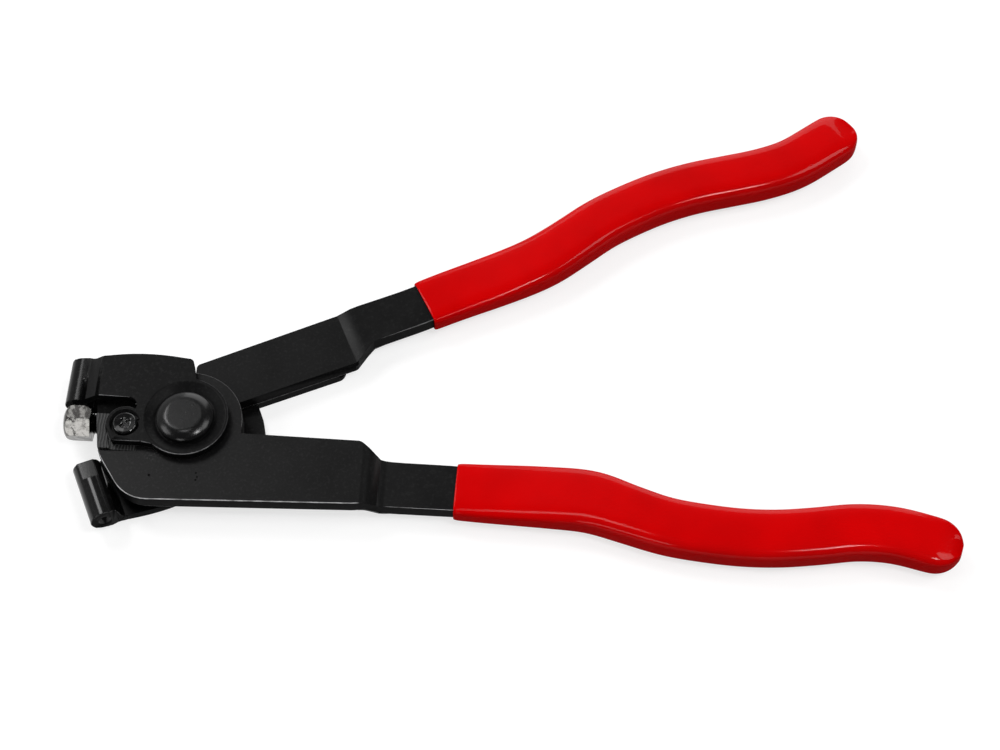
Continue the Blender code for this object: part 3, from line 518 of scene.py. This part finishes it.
def milled_material(name, group, colour, worn_and_highlit):
    """Steel with the parallel marks of a cutter, across the tool's axis."""
    material = steel_material(name, group, colour, worn_and_highlit, MILLED_FINISH)
    tree = material.node_tree
    turn = add_node(tree, "ShaderNodeMapping")
    turn.inputs["Rotation"].default_value = (0, 0, REST_TURN)
    tree.links.new(object_place(tree), turn.inputs["Vector"])
    lines = add_node(tree, "ShaderNodeTexWave", bands_direction="X")
    lines.inputs["Scale"].default_value = LINE_SCALE
    lines.inputs["Distortion"].default_value = LINE_DISTORTION
    lines.inputs["Detail"].default_value = LINE_DETAIL
    tree.links.new(turn.outputs["Vector"], lines.inputs["Vector"])
    relief = tree.nodes["Bump"]
    tree.links.new(lines.outputs["Fac"], relief.inputs["Height"])
    relief.inputs["Strength"].default_value = LINE_BUMP
    light = mixed(tree, value_range(tree, lines.outputs["Fac"], *LINE_RANGE),
                  tree.nodes["Group"].outputs["Colour"], LINE_COLOUR)
    tree.links.new(light, tree.nodes["Principled BSDF"].inputs["Base Color"])
    return material


def plated_material(name, colour):
    """Bright plating over slightly wavy turned steel, with faint handling marks."""
    material, tree, shader = new_material(name)
    place = object_place(tree)
    marks = noise_texture(tree, place, MARK_NOISE)
    waves = noise_texture(tree, place, PLATING_WAVES)
    darker = tuple(part * PLATING_DARK_SHARE for part in colour)
    tree.links.new(mixed(tree, value_range(tree, marks, *MARK_RANGE), colour, darker),
                   shader.inputs["Base Color"])
    tree.links.new(value_range(tree, marks, *MARK_ROUGHNESS), shader.inputs["Roughness"])
    height = worked(tree, "ADD", waves, worked(tree, "MULTIPLY", marks, PLATING_MARK_SHARE))
    add_bump(tree, shader, height, PLATING_BUMP, PLATING_BUMP_DISTANCE)
    shader.inputs["Metallic"].default_value = 1.0
    return material


def grip_material(name, colour):
    """Glossy dipped plastic: slow waves in its skin, and a coat on its top and underside."""
    material, tree, shader = new_material(name)
    place = object_place(tree)
    waves = noise_texture(tree, place, GRIP_WAVES)
    skin = noise_texture(tree, place, GRIP_SKIN)
    deeper = tuple(part * GRIP_DEEP_SHARE for part in colour)
    tree.links.new(mixed(tree, value_range(tree, waves, *GRIP_COLOUR_RANGE), deeper, colour),
                   shader.inputs["Base Color"])
    tree.links.new(value_range(tree, skin, *GRIP_ROUGHNESS), shader.inputs["Roughness"])
    height = worked(tree, "ADD", worked(tree, "MULTIPLY", waves, GRIP_WAVE_HEIGHT), skin)
    add_bump(tree, shader, height, GRIP_BUMP, GRIP_BUMP_DISTANCE)
    shader.inputs["Specular IOR Level"].default_value = 0.0
    middle = (GRIP_LOW.z + GRIP_HIGH.z) / 2
    start, end = ((GRIP_HIGH.z - middle) * share for share in GRIP_COAT_SHARES)
    tree.links.new(value_range(tree, height_off(tree, middle), start, end, *GRIP_COAT),
                   shader.inputs["Coat Weight"])
    shader.inputs["Coat Roughness"].default_value = GRIP_COAT_ROUGHNESS
    return material


def finish_object(name, bm, materials, body, nodes):
    """Makes the piece an object that stands for its CAD nodes and rides on its body."""
    mesh = bpy.data.meshes.new(name)
    bm.to_mesh(mesh)
    bm.free()
    for material in materials:
        mesh.materials.append(material)
    mesh.shade_smooth()
    obj = bpy.data.objects.new(name, mesh)
    bpy.context.scene.collection.objects.link(obj)
    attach(obj, body)
    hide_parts(*nodes)
    return obj


def merged_copy(node):
    """A CAD node's mesh with its loose triangles joined into whole flat faces."""
    bm = bmesh.new()
    bm.from_mesh(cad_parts[node].data)
    bmesh.ops.remove_doubles(bm, verts=bm.verts, dist=MERGE_DISTANCE)
    bmesh.ops.dissolve_limit(bm, angle_limit=FLAT_ANGLE, verts=bm.verts, edges=bm.edges)
    bmesh.ops.dissolve_degenerate(bm, dist=SHORTEST_EDGE, edges=bm.edges)
    bmesh.ops.recalc_face_normals(bm, faces=bm.faces)
    return bm


def sharp_edges(bm, angle, radius, rims):
    """The sharp edges, either those between a flat and an upright side or all the others."""
    found = []
    for edge in bm.edges:
        if edge.is_manifold and edge.calc_face_angle() > angle:
            if any(is_narrow(face, 2 * radius) for face in edge.link_faces):
                continue
            slopes = [abs(face.normal.z) for face in edge.link_faces]
            if (max(slopes) > RIM_FLAT_SLOPE and min(slopes) < RIM_SIDE_SLOPE) == rims:
                found.append(edge)
    return found


def is_narrow(face, width):
    """Whether a face is a strip, such as a chamfer, that is less wide than this."""
    return face.calc_area() < width * face.calc_perimeter() / 2


def wear_and_highlight_share(face, reach):
    """How much an edge is rubbed and painted as highlit: most where it faces the lit front left, nothing out
    of reach of the pivot's axis.
    """
    flat = face.normal.xy
    if flat.length == 0 or face.calc_center_median().xy.length > reach:
        return 0.0
    return max(LEAST_WEAR_AND_HIGHLIGHT, flat.normalized().dot(HIGHLIT_AND_WORN_SIDE))


def wear_and_highlight_layer(bm):
    """The layer that says how much each face is rubbed and painted as highlit."""
    layers = bm.faces.layers.float
    return layers.get("edge_wear_and_highlight") or layers.new("edge_wear_and_highlight")


def mark_rubbed_and_highlit(bm, width, reach):
    """Marks the chamfers narrower than this as rubbed bright, partly a painted highlight."""
    wear_and_highlight = wear_and_highlight_layer(bm)
    lowest, highest = CHAMFER_SLOPES
    for face in bm.faces:
        if lowest < abs(face.normal.z) < highest and is_narrow(face, width):
            face[wear_and_highlight] = wear_and_highlight_share(face, reach)


def bevelled(bm, edges, radius, segments, clamp):
    """Rounds some edges and gives the new faces."""
    made = bmesh.ops.bevel(bm, geom=edges, offset=radius, offset_type="OFFSET", segments=segments,
                           profile=0.5, affect="EDGES", clamp_overlap=clamp, material=-1)
    return made["faces"]


def round_edges(bm, radius, angle, reach=0.0, segments=2, clamp=True):
    """Rounds the sharp edges, the rims last, and marks the rims as rubbed and painted highlit."""
    wear_and_highlight = wear_and_highlight_layer(bm)
    for rims in (False, True):
        faces = bevelled(bm, sharp_edges(bm, angle, radius, rims), radius, segments, clamp)
        bm.normal_update()
        for face in faces:
            face[wear_and_highlight] = wear_and_highlight_share(face, reach) if rims else 0.0


def soften_bends(bm, radius, angle):
    """Rounds the long bends across a plate, between wide faces that both look up or down."""
    bends = []
    for edge in bm.edges:
        long = edge.calc_length() > SHORTEST_BEND * radius
        if long and edge.is_manifold and edge.calc_face_angle() > angle:
            sides = [abs(face.normal.z) > BEND_SLOPE and not is_narrow(face, 2 * radius)
                     for face in edge.link_faces]
            if all(sides):
                bends.append(edge)
    bevelled(bm, bends, radius, BEND_SEGMENTS, False)


def add_shell(bm, other):
    """Adds another closed shape to a piece."""
    mesh = bpy.data.meshes.new("shell")
    other.to_mesh(mesh)
    other.free()
    bm.from_mesh(mesh)
    bpy.data.meshes.remove(mesh)


def give_cut_and_shaded_sides(bm):
    """Gives the upright sides of a plate the second material, darker as painted shade, except where they are
    rubbed.
    """
    wear_and_highlight = wear_and_highlight_layer(bm)
    for face in bm.faces:
        if abs(face.normal.z) < CUT_SIDE_SLOPE and face[wear_and_highlight] == 0:
            face.material_index = 1


def joined(bm, other, operation):
    """Joins, cuts or keeps the common part of two closed shapes."""
    objects = []
    for item in (bm, other):
        mesh = bpy.data.meshes.new("cutting")
        item.to_mesh(mesh)
        item.free()
        obj = bpy.data.objects.new("cutting", mesh)
        bpy.context.scene.collection.objects.link(obj)
        objects.append(obj)
    modifier = objects[0].modifiers.new("Cut", "BOOLEAN")
    modifier.operation = operation
    modifier.object = objects[1]
    modifier.solver = "EXACT"
    evaluated = objects[0].evaluated_get(bpy.context.evaluated_depsgraph_get())
    result = bmesh.new()
    result.from_mesh(evaluated.to_mesh())
    evaluated.to_mesh_clear()
    for obj in objects:
        mesh = obj.data
        bpy.data.objects.remove(obj)
        bpy.data.meshes.remove(mesh)
    return result


def block_of(low, high, turn=0.0):
    """A box between two corners, turned about the pivot's axis."""
    bm = bmesh.new()
    bmesh.ops.create_cube(bm, size=1)
    size = [top - bottom for bottom, top in zip(low, high)]
    middle = [(top + bottom) / 2 for bottom, top in zip(low, high)]
    bmesh.ops.scale(bm, vec=size, verts=bm.verts)
    bmesh.ops.translate(bm, vec=middle, verts=bm.verts)
    bmesh.ops.rotate(bm, cent=(0, 0, 0), matrix=Matrix.Rotation(turn, 3, "Z"), verts=bm.verts)
    return bm


def spun(profile, steps=ROUND_STEPS):
    """A closed round solid from a profile of (radius, height) that starts and ends on the axis."""
    bm = bmesh.new()
    points = [bm.verts.new((radius, 0, height)) for radius, height in profile]
    edges = [bm.edges.new(pair) for pair in zip(points, points[1:])]
    bmesh.ops.spin(bm, geom=points + edges, cent=(0, 0, 0), axis=UP, angle=math.tau, steps=steps,
                   use_merge=True)
    bmesh.ops.remove_doubles(bm, verts=bm.verts, dist=MERGE_DISTANCE)
    bmesh.ops.recalc_face_normals(bm, faces=bm.faces)
    return bm


def weighted(obj):
    """Keeps flat faces flat beside their rounded edges."""
    modifier = obj.modifiers.new("Weighted normals", "WEIGHTED_NORMAL")
    modifier.keep_sharp = True
    modifier.weight = NORMAL_WEIGHT


class PLIERS_OT_plates(bpy.types.Operator):
    """Dresses the handle and jaw plates in black finished steel"""
    bl_idname = "pliers.plates"
    bl_label = "Steel plates"

    def execute(self, context):
        settings = context.scene.pliers_plates
        surface = steel_surface_group()
        steel = steel_material("Black steel", surface, settings.steel, settings.worn_and_highlit, BLACK_FINISH)
        marked = steel_material("Marked steel", surface, settings.steel, settings.bright, MARKED_FINISH)
        marked_material(marked, PLATE_DENTS, PLATE_SCUFF, PLATE_SCUFF_SIZE)
        jaws = []
        for name, coat in JAW_COATS:
            jaw = steel_material(name, surface, settings.steel, settings.worn_and_highlit, JAW_FINISH)
            burnished_material(jaw, coat, settings.burnish_start, settings.burnish_end)
            jaws.append(jaw)
        # Darker, duller steel for the upright sides, painted shade as well as a sawn finish
        cut = steel_material("Shaded cut steel", surface, settings.cut, settings.worn_and_highlit, CUT_AND_SHADE_FINISH)
        plates = (
            ("lower_handle", "lower_side", settings.fine_edge, settings.handle_reach, marked),
            ("upper_handle", "upper_side", settings.edge, settings.handle_reach, steel),
            ("upper_jaw", "lower_side", settings.edge, settings.jaw_reach, jaws[0]),
            ("lower_jaw", "upper_side", settings.edge, settings.jaw_reach, jaws[1]),
        )
        for node, body, radius, reach, material in plates:
            bm = merged_copy(node)
            # Chamfers and rims are marked for a lighter colour, partly rubbing, partly painted highlight
            mark_rubbed_and_highlit(bm, settings.rubbed_and_highlit_width, reach)
            soften_bends(bm, settings.bend, settings.edge_angle)
            round_edges(bm, radius, settings.edge_angle, reach, clamp=False)
            # Upright sides get the darker steel as painted shade
            give_cut_and_shaded_sides(bm)
            if node == "lower_jaw":
                # The toe is coloured wholly in the darker sawn-side steel, painted shade under the web
                toe = block_of(settings.toe_low, settings.toe_high, REST_TURN)
                for face in toe.faces:
                    face.material_index = 1
                add_shell(bm, toe)
            weighted(finish_object(node + "_steel", bm, (material, cut), body, (node,)))
        return {"FINISHED"}


class PLIERS_OT_block(bpy.types.Operator):
    """Mills the stop block, with the step and the shelf that close the slot from below; the faces behind the
    step, the shelf and the tongue are near-black painted shade
    """
    bl_idname = "pliers.block"
    bl_label = "Stop block"

    def execute(self, context):
        settings = context.scene.pliers_block
        plates = context.scene.pliers_plates
        surface = bpy.data.node_groups["Steel surface"]
        milled = milled_material("Milled steel", surface, plates.steel, plates.worn_and_highlit)
        # Near-black painted shade steel for the unlit faces
        black = steel_material("Painted shade steel", surface, settings.recess, plates.worn_and_highlit, PAINTED_SHADE_FINISH)
        top = BLOCK_HIGH.z - settings.step
        behind = block_of((BLOCK_LOW.x * 2, settings.trim, top),
                          (0, BLOCK_HIGH.y, BLOCK_HIGH.z + settings.step), -REST_TURN)
        bm = joined(merged_copy("stop_block"), behind, "DIFFERENCE")
        mark_rubbed_and_highlit(bm, plates.rubbed_and_highlit_width, plates.handle_reach)
        round_edges(bm, settings.edge, plates.edge_angle, plates.handle_reach)
        # Faces behind the step take the near-black painted shade steel
        across = Matrix.Rotation(REST_TURN, 3, "Z")
        for face in bm.faces:
            if (across @ face.calc_center_median()).y > settings.trim:
                face.material_index = 1
        # The shelf and the tongue are dark pieces of painted shade that fill the unlit slot
        shelf = block_of((-settings.left, settings.shelf_start, settings.shelf_bottom),
                         (-settings.shelf_right, settings.shelf_reach, settings.shelf_top), -REST_TURN)
        tongue = block_of(settings.tongue_low, settings.tongue_high, -REST_TURN)
        pieces = (("milled", bm, (milled, black)), ("shelf", shelf, (black,)), ("tongue", tongue, (black,)))
        for name, shape, materials in pieces:
            weighted(finish_object("stop_block_" + name, shape, materials, "lower_side", ("stop_block",)))
        return {"FINISHED"}


class PLIERS_OT_pins(bpy.types.Operator):
    """Dresses the pivot pin, its nut and the small screws in dark polished steel"""
    bl_idname = "pliers.pins"
    bl_label = "Pins and screws"

    def execute(self, context):
        settings = context.scene.pliers_pins
        plates = context.scene.pliers_plates
        surface = bpy.data.node_groups["Steel surface"]
        dark = steel_material("Pin steel", surface, settings.colour, plates.worn_and_highlit, PIN_FINISH)
        glossy = steel_material("Screw steel", surface, settings.colour, plates.worn_and_highlit, SCREW_FINISH)
        pieces = (
            ("pivot_pin", "lower_side"), ("pivot_nut", "lower_side"),
            ("lower_jaw_screw_front", "upper_side"), ("lower_jaw_screw_rear", "upper_side"),
        )
        for node, body in pieces:
            bm = merged_copy(node)
            if node == "pivot_pin":
                bm = joined(bm, pin_envelope(settings), "INTERSECT")
            round_edges(bm, settings.edge, plates.edge_angle, segments=PIN_SEGMENTS)
            weighted(finish_object(node + "_polished", bm, (dark,), body, (node,)))
        bm = dished_screw(settings)
        round_edges(bm, settings.edge / 2, plates.edge_angle)
        weighted(finish_object("jaw_screw_polished", bm, (glossy,), "lower_side", ("jaw_screw",)))
        return {"FINISHED"}


def pin_envelope(settings):
    """A shape that leaves the pin's head a soft conical crown around its flat top."""
    top = PIN_HIGH.z + settings.edge * PIN_OVERRUN_SHARE
    slope = (PIN_HIGH.z - settings.rim_height) / (PIN_HIGH.x - settings.flat_radius)
    outer = PIN_HIGH.x + settings.edge
    profile = [(0, -outer), (outer, -outer), (outer, top - (outer - settings.flat_radius) * slope)]
    for i in range(DOME_STEPS + 1):
        share = 1 - i / DOME_STEPS
        radius = settings.flat_radius + settings.blend * (2 * share - 1)
        profile.append((radius, top - settings.blend * slope * share * share))
    profile.append((0, top))
    return spun(profile, PIN_STEPS)


def dished_screw(settings):
    """The jaw screw: a round head dished in the middle, with a cross recess and a shank."""
    middle = (JAW_SCREW_LOW + JAW_SCREW_HIGH) / 2
    radius = (JAW_SCREW_HIGH.x - JAW_SCREW_LOW.x) / 2
    top = JAW_SCREW_HIGH.z
    floor = top - settings.hollow
    head = top - settings.head_height
    corner = settings.crown * CROWN_CORNER_SHARE
    profile = [
        (0, JAW_SCREW_LOW.z), (settings.shank, JAW_SCREW_LOW.z), (settings.shank, head), (radius, head),
        (radius, top - settings.crown), (radius - corner, top - corner), (radius - settings.crown, top),
        (radius * BOWL_EDGE_SHARE, floor + settings.hollow * BOWL_RISE_SHARE),
        (radius * BOWL_FLOOR_SHARE, floor), (0, floor),
    ]
    bm = spun(profile)
    slots = None
    for turn in (settings.cross_turn, settings.cross_turn + math.pi / 2):
        slot = block_of((-settings.recess / 2, -settings.recess_width / 2, floor - settings.recess_depth),
                        (settings.recess / 2, settings.recess_width / 2, top + settings.hollow), turn)
        slots = slot if slots is None else joined(slots, slot, "UNION")
    bm = joined(bm, slots, "DIFFERENCE")
    bmesh.ops.translate(bm, vec=(middle.x, middle.y, 0), verts=bm.verts)
    bmesh.ops.recalc_face_normals(bm, faces=bm.faces)
    return bm


class PLIERS_OT_stop_screw(bpy.types.Operator):
    """Makes the bright stop screw: a domed hexagon head and a threaded shank, with painted dark reflection
    lines on the head's rounded edges
    """
    bl_idname = "pliers.stop_screw"
    bl_label = "Stop screw"

    def execute(self, context):
        settings = context.scene.pliers_stop
        bright = plated_material("Bright plating", settings.colour)
        # The dark plating serves the thread and the painted dark reflection lines on the head's edges
        thread_and_edge_reflection_plating = plated_material("Thread plating and painted edge reflection", settings.thread_colour)
        place = Matrix.Translation((0, 0, MID_HEIGHT)) @ Matrix.Rotation(-REST_TURN, 4, "Z")
        lie = place @ Matrix.Rotation(-math.pi / 2, 4, "Y")
        head = stop_head(settings)
        bmesh.ops.transform(head, matrix=lie, verts=head.verts)
        angle = context.scene.pliers_plates.edge_angle
        # The head's rounded edges take the dark plating: painted dark reflection lines
        sharp = [edge for edge in head.edges if edge.is_manifold and edge.calc_face_angle() > angle]
        for face in bevelled(head, sharp, settings.edge, PIN_SEGMENTS, True):
            face.material_index = 1
        weighted(finish_object("stop_screw_head", head, (bright, thread_and_edge_reflection_plating), "stop", ("stop_screw",)))
        thread = stop_thread(settings)
        bmesh.ops.transform(thread, matrix=lie, verts=thread.verts)
        obj = finish_object("stop_screw_thread", thread, (thread_and_edge_reflection_plating,), "stop", ("stop_screw",))
        obj.data.set_sharp_from_angle(angle=THREAD_SHARP_ANGLE)
        return {"FINISHED"}


def stop_head(settings):
    """The hexagon along its own axis, its outer end turned to a dome."""
    bm = bmesh.new()
    corner = settings.flats / 2 / math.cos(math.pi / HEXAGON_SIDES)
    bmesh.ops.create_circle(bm, cap_ends=True, segments=HEXAGON_SIDES, radius=corner)
    bmesh.ops.rotate(bm, cent=(0, 0, 0), matrix=Matrix.Rotation(settings.roll, 3, "Z"), verts=bm.verts)
    bmesh.ops.translate(bm, vec=(0, 0, settings.inner_end), verts=bm.verts)
    made = bmesh.ops.extrude_face_region(bm, geom=bm.faces[:])
    moved = [item for item in made["geom"] if isinstance(item, bmesh.types.BMVert)]
    bmesh.ops.translate(bm, vec=(0, 0, settings.length), verts=moved)
    bmesh.ops.recalc_face_normals(bm, faces=bm.faces)
    outer = settings.inner_end + settings.length
    start = settings.inner_end - settings.dome
    face = corner * settings.dome_face_share
    profile = [(0, start), (corner, start), (corner, settings.inner_end), (corner, outer - settings.dome)]
    for i in range(1, DOME_STEPS + 1):
        turn = math.pi / 2 * i / DOME_STEPS
        radius = face + (corner - face) * math.cos(turn)
        profile.append((radius, outer - settings.dome * (1 - math.sin(turn))))
    profile.append((0, outer))
    return joined(bm, spun(profile), "INTERSECT")


def stop_thread(settings):
    """A V thread, swept as a helix, with its two ends closed inside the head and the block."""
    bm = bmesh.new()
    root = settings.shank - settings.depth
    turns = round((settings.inner_end - settings.shank_end) / settings.pitch) + 1
    start = settings.inner_end + settings.pitch - turns * settings.pitch
    low = bm.verts.new((root, 0, start))
    crest = bm.verts.new((settings.shank, 0, start + settings.pitch / 2))
    high = bm.verts.new((root, 0, start + settings.pitch))
    edges = [bm.edges.new((low, crest)), bm.edges.new((crest, high))]
    bmesh.ops.spin(bm, geom=[low, crest, high] + edges, cent=(0, 0, 0), axis=UP,
                   angle=math.tau * (turns - 1), dvec=(0, 0, settings.pitch / THREAD_STEPS),
                   steps=THREAD_STEPS * (turns - 1), use_merge=False)
    bmesh.ops.remove_doubles(bm, verts=bm.verts, dist=MERGE_DISTANCE)
    rims = [edge for edge in bm.edges if edge.is_boundary]
    bmesh.ops.contextual_create(bm, geom=rims)
    bmesh.ops.holes_fill(bm, edges=[edge for edge in bm.edges if edge.is_boundary], sides=0)
    bmesh.ops.recalc_face_normals(bm, faces=bm.faces)
    return bm


def soften_tops(bm, flat_height, times):
    """Eases the long edges of a grip in height alone, so that its outline stays."""
    heights = [vert.co.z for vert in bm.verts]
    middle = (min(heights) + max(heights)) / 2
    skin = [vert for vert in bm.verts if abs(vert.co.z - middle) > flat_height]
    for _ in range(times):
        bmesh.ops.smooth_vert(bm, verts=skin, factor=SKIN_EASE_SHARE, use_axis_x=False, use_axis_y=False,
                              use_axis_z=True)


class PLIERS_OT_grips(bpy.types.Operator):
    """Dips the two grips in glossy red plastic"""
    bl_idname = "pliers.grips"
    bl_label = "Grips"

    def execute(self, context):
        settings = context.scene.pliers_grips
        red = grip_material("Red grip", settings.colour)
        for node, body in (("lower_grip", "lower_side"), ("upper_grip", "upper_side")):
            bm = bmesh.new()
            bm.from_mesh(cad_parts[node].data)
            bmesh.ops.remove_doubles(bm, verts=bm.verts, dist=MERGE_DISTANCE)
            bmesh.ops.join_triangles(bm, faces=bm.faces, angle_face_threshold=FACE_JOIN_ANGLE,
                                     angle_shape_threshold=SHAPE_JOIN_ANGLE)
            soften_tops(bm, settings.flat_height, settings.softening)
            crease = bm.edges.layers.float.new("crease_edge")
            for edge in bm.edges:
                if edge.is_manifold and edge.calc_face_angle() > settings.crease_angle:
                    edge[crease] = settings.mouth_crease
            obj = finish_object(node + "_dipped", bm, (red,), body, (node,))
            soft = obj.modifiers.new("Dip", "SUBSURF")
            soft.levels = settings.smoothing
            soft.render_levels = settings.smoothing
        return {"FINISHED"}


class PLIERS_OT_stage(bpy.types.Operator):
    """Sets up the pale floor, the soft lamps, the world and the camera"""
    bl_idname = "pliers.stage"
    bl_label = "Stage"

    def execute(self, context):
        settings = context.scene.pliers_stage
        make_floor(settings.floor_size)
        make_world(context.scene)
        make_lamps()
        make_camera(context.scene, settings)
        context.scene.view_settings.view_transform = "Standard"
        return {"FINISHED"}


def make_floor(size):
    """A pale floor that the camera and the reflections see as white, with the object's shadow on it."""
    bm = bmesh.new()
    bmesh.ops.create_grid(bm, x_segments=1, y_segments=1, size=size / 2)
    mesh = bpy.data.meshes.new("floor")
    bm.to_mesh(mesh)
    bm.free()
    floor = bpy.data.objects.new("floor", mesh)
    bpy.context.scene.collection.objects.link(floor)
    material, tree, shader = new_material("Floor")
    shader.inputs["Base Color"].default_value = FLOOR_COLOUR
    shader.inputs["Roughness"].default_value = FLOOR_ROUGHNESS
    shader.inputs["Specular IOR Level"].default_value = 0.0
    glow = add_node(tree, "ShaderNodeEmission")
    both = add_node(tree, "ShaderNodeAddShader")
    path = add_node(tree, "ShaderNodeLightPath")
    seen = worked(tree, "ADD", path.outputs["Is Camera Ray"], path.outputs["Is Glossy Ray"])
    seen = worked(tree, "ADD", seen, path.outputs["Is Transmission Ray"])
    tree.links.new(worked(tree, "MULTIPLY", seen, FLOOR_GLOW), glow.inputs["Strength"])
    tree.links.new(shader.outputs["BSDF"], both.inputs[0])
    tree.links.new(glow.outputs["Emission"], both.inputs[1])
    tree.links.new(both.outputs["Shader"], tree.nodes["Material Output"].inputs["Surface"])
    mesh.materials.append(material)


def make_world(scene):
    """A studio's surround: bright behind the object, to the left, and dark elsewhere."""
    world = bpy.data.worlds.new("Studio")
    world.use_nodes = True
    tree = world.node_tree
    background = tree.nodes["Background"]
    background.inputs["Color"].default_value = (1, 1, 1, 1)
    way = add_node(tree, "ShaderNodeVectorMath", operation="DOT_PRODUCT")
    tree.links.new(add_node(tree, "ShaderNodeTexCoord").outputs["Generated"], way.inputs[0])
    way.inputs[1].default_value = BRIGHT_SIDE
    tree.links.new(value_range(tree, way.outputs["Value"], *WORLD_RANGE), background.inputs["Strength"])
    scene.world = world


def make_lamps():
    """Two lamps behind, one at each side, two above and a small one in front."""
    for name, place, size, power in LAMPS:
        lamp = bpy.data.lights.new(name, "AREA")
        lamp.size = size
        lamp.energy = power
        obj = bpy.data.objects.new(name, lamp)
        bpy.context.scene.collection.objects.link(obj)
        obj.location = place
        obj.rotation_euler = (Vector(LAMP_AIM) - Vector(place)).to_track_quat("-Z", "Y").to_euler()


def make_camera(scene, settings):
    """The camera stands where the photograph was taken from."""
    camera = bpy.data.cameras.new("camera")
    camera.lens = settings.lens
    camera.sensor_width = SENSOR_WIDTH
    camera.clip_start = CLIP_START
    obj = bpy.data.objects.new("camera", camera)
    scene.collection.objects.link(obj)
    flat = math.cos(settings.elevation)
    view = Vector((-math.sin(settings.azimuth) * flat, math.cos(settings.azimuth) * flat,
                   -math.sin(settings.elevation)))
    obj.location = Vector(settings.target) - view * settings.distance
    obj.rotation_euler = view.to_track_quat("-Z", "Y").to_euler()
    scene.camera = obj


class PLIERS_PT_panel(bpy.types.Panel):
    bl_idname = "PLIERS_PT_panel"
    bl_label = "Ear clamp pliers"
    bl_space_type = "VIEW_3D"
    bl_region_type = "UI"
    bl_category = "Pliers"

    def draw(self, context):
        for operator, group in STEPS:
            box = self.layout.box()
            settings = getattr(context.scene, group)
            for name in settings.bl_rna.properties.keys():
                if name not in ("rna_type", "name"):
                    box.prop(settings, name)
            box.operator(operator)


STEPS = (
    ("pliers.plates", "pliers_plates"),
    ("pliers.block", "pliers_block"),
    ("pliers.pins", "pliers_pins"),
    ("pliers.stop_screw", "pliers_stop"),
    ("pliers.grips", "pliers_grips"),
    ("pliers.stage", "pliers_stage"),
)
SETTINGS = {
    "pliers_plates": PlateSettings,
    "pliers_block": BlockSettings,
    "pliers_pins": PinSettings,
    "pliers_stop": StopSettings,
    "pliers_grips": GripSettings,
    "pliers_stage": StageSettings,
}
OPERATORS = (PLIERS_OT_plates, PLIERS_OT_block, PLIERS_OT_pins, PLIERS_OT_stop_screw, PLIERS_OT_grips,
             PLIERS_OT_stage)


def register():
    for name, group in SETTINGS.items():
        bpy.utils.register_class(group)
        setattr(bpy.types.Scene, name, PointerProperty(type=group))
    for item in OPERATORS + (PLIERS_PT_panel,):
        bpy.utils.register_class(item)


def unregister():
    for item in reversed(OPERATORS + (PLIERS_PT_panel,)):
        bpy.utils.unregister_class(item)
    for name, group in reversed(SETTINGS.items()):
        delattr(bpy.types.Scene, name)
        bpy.utils.unregister_class(group)


def main():
    register()
    bpy.ops.pliers.plates()
    bpy.ops.pliers.block()
    bpy.ops.pliers.pins()
    bpy.ops.pliers.stop_screw()
    bpy.ops.pliers.grips()
    bpy.ops.pliers.stage()
    bpy.context.view_layer.update()


if __name__ == "__main__":
    main()
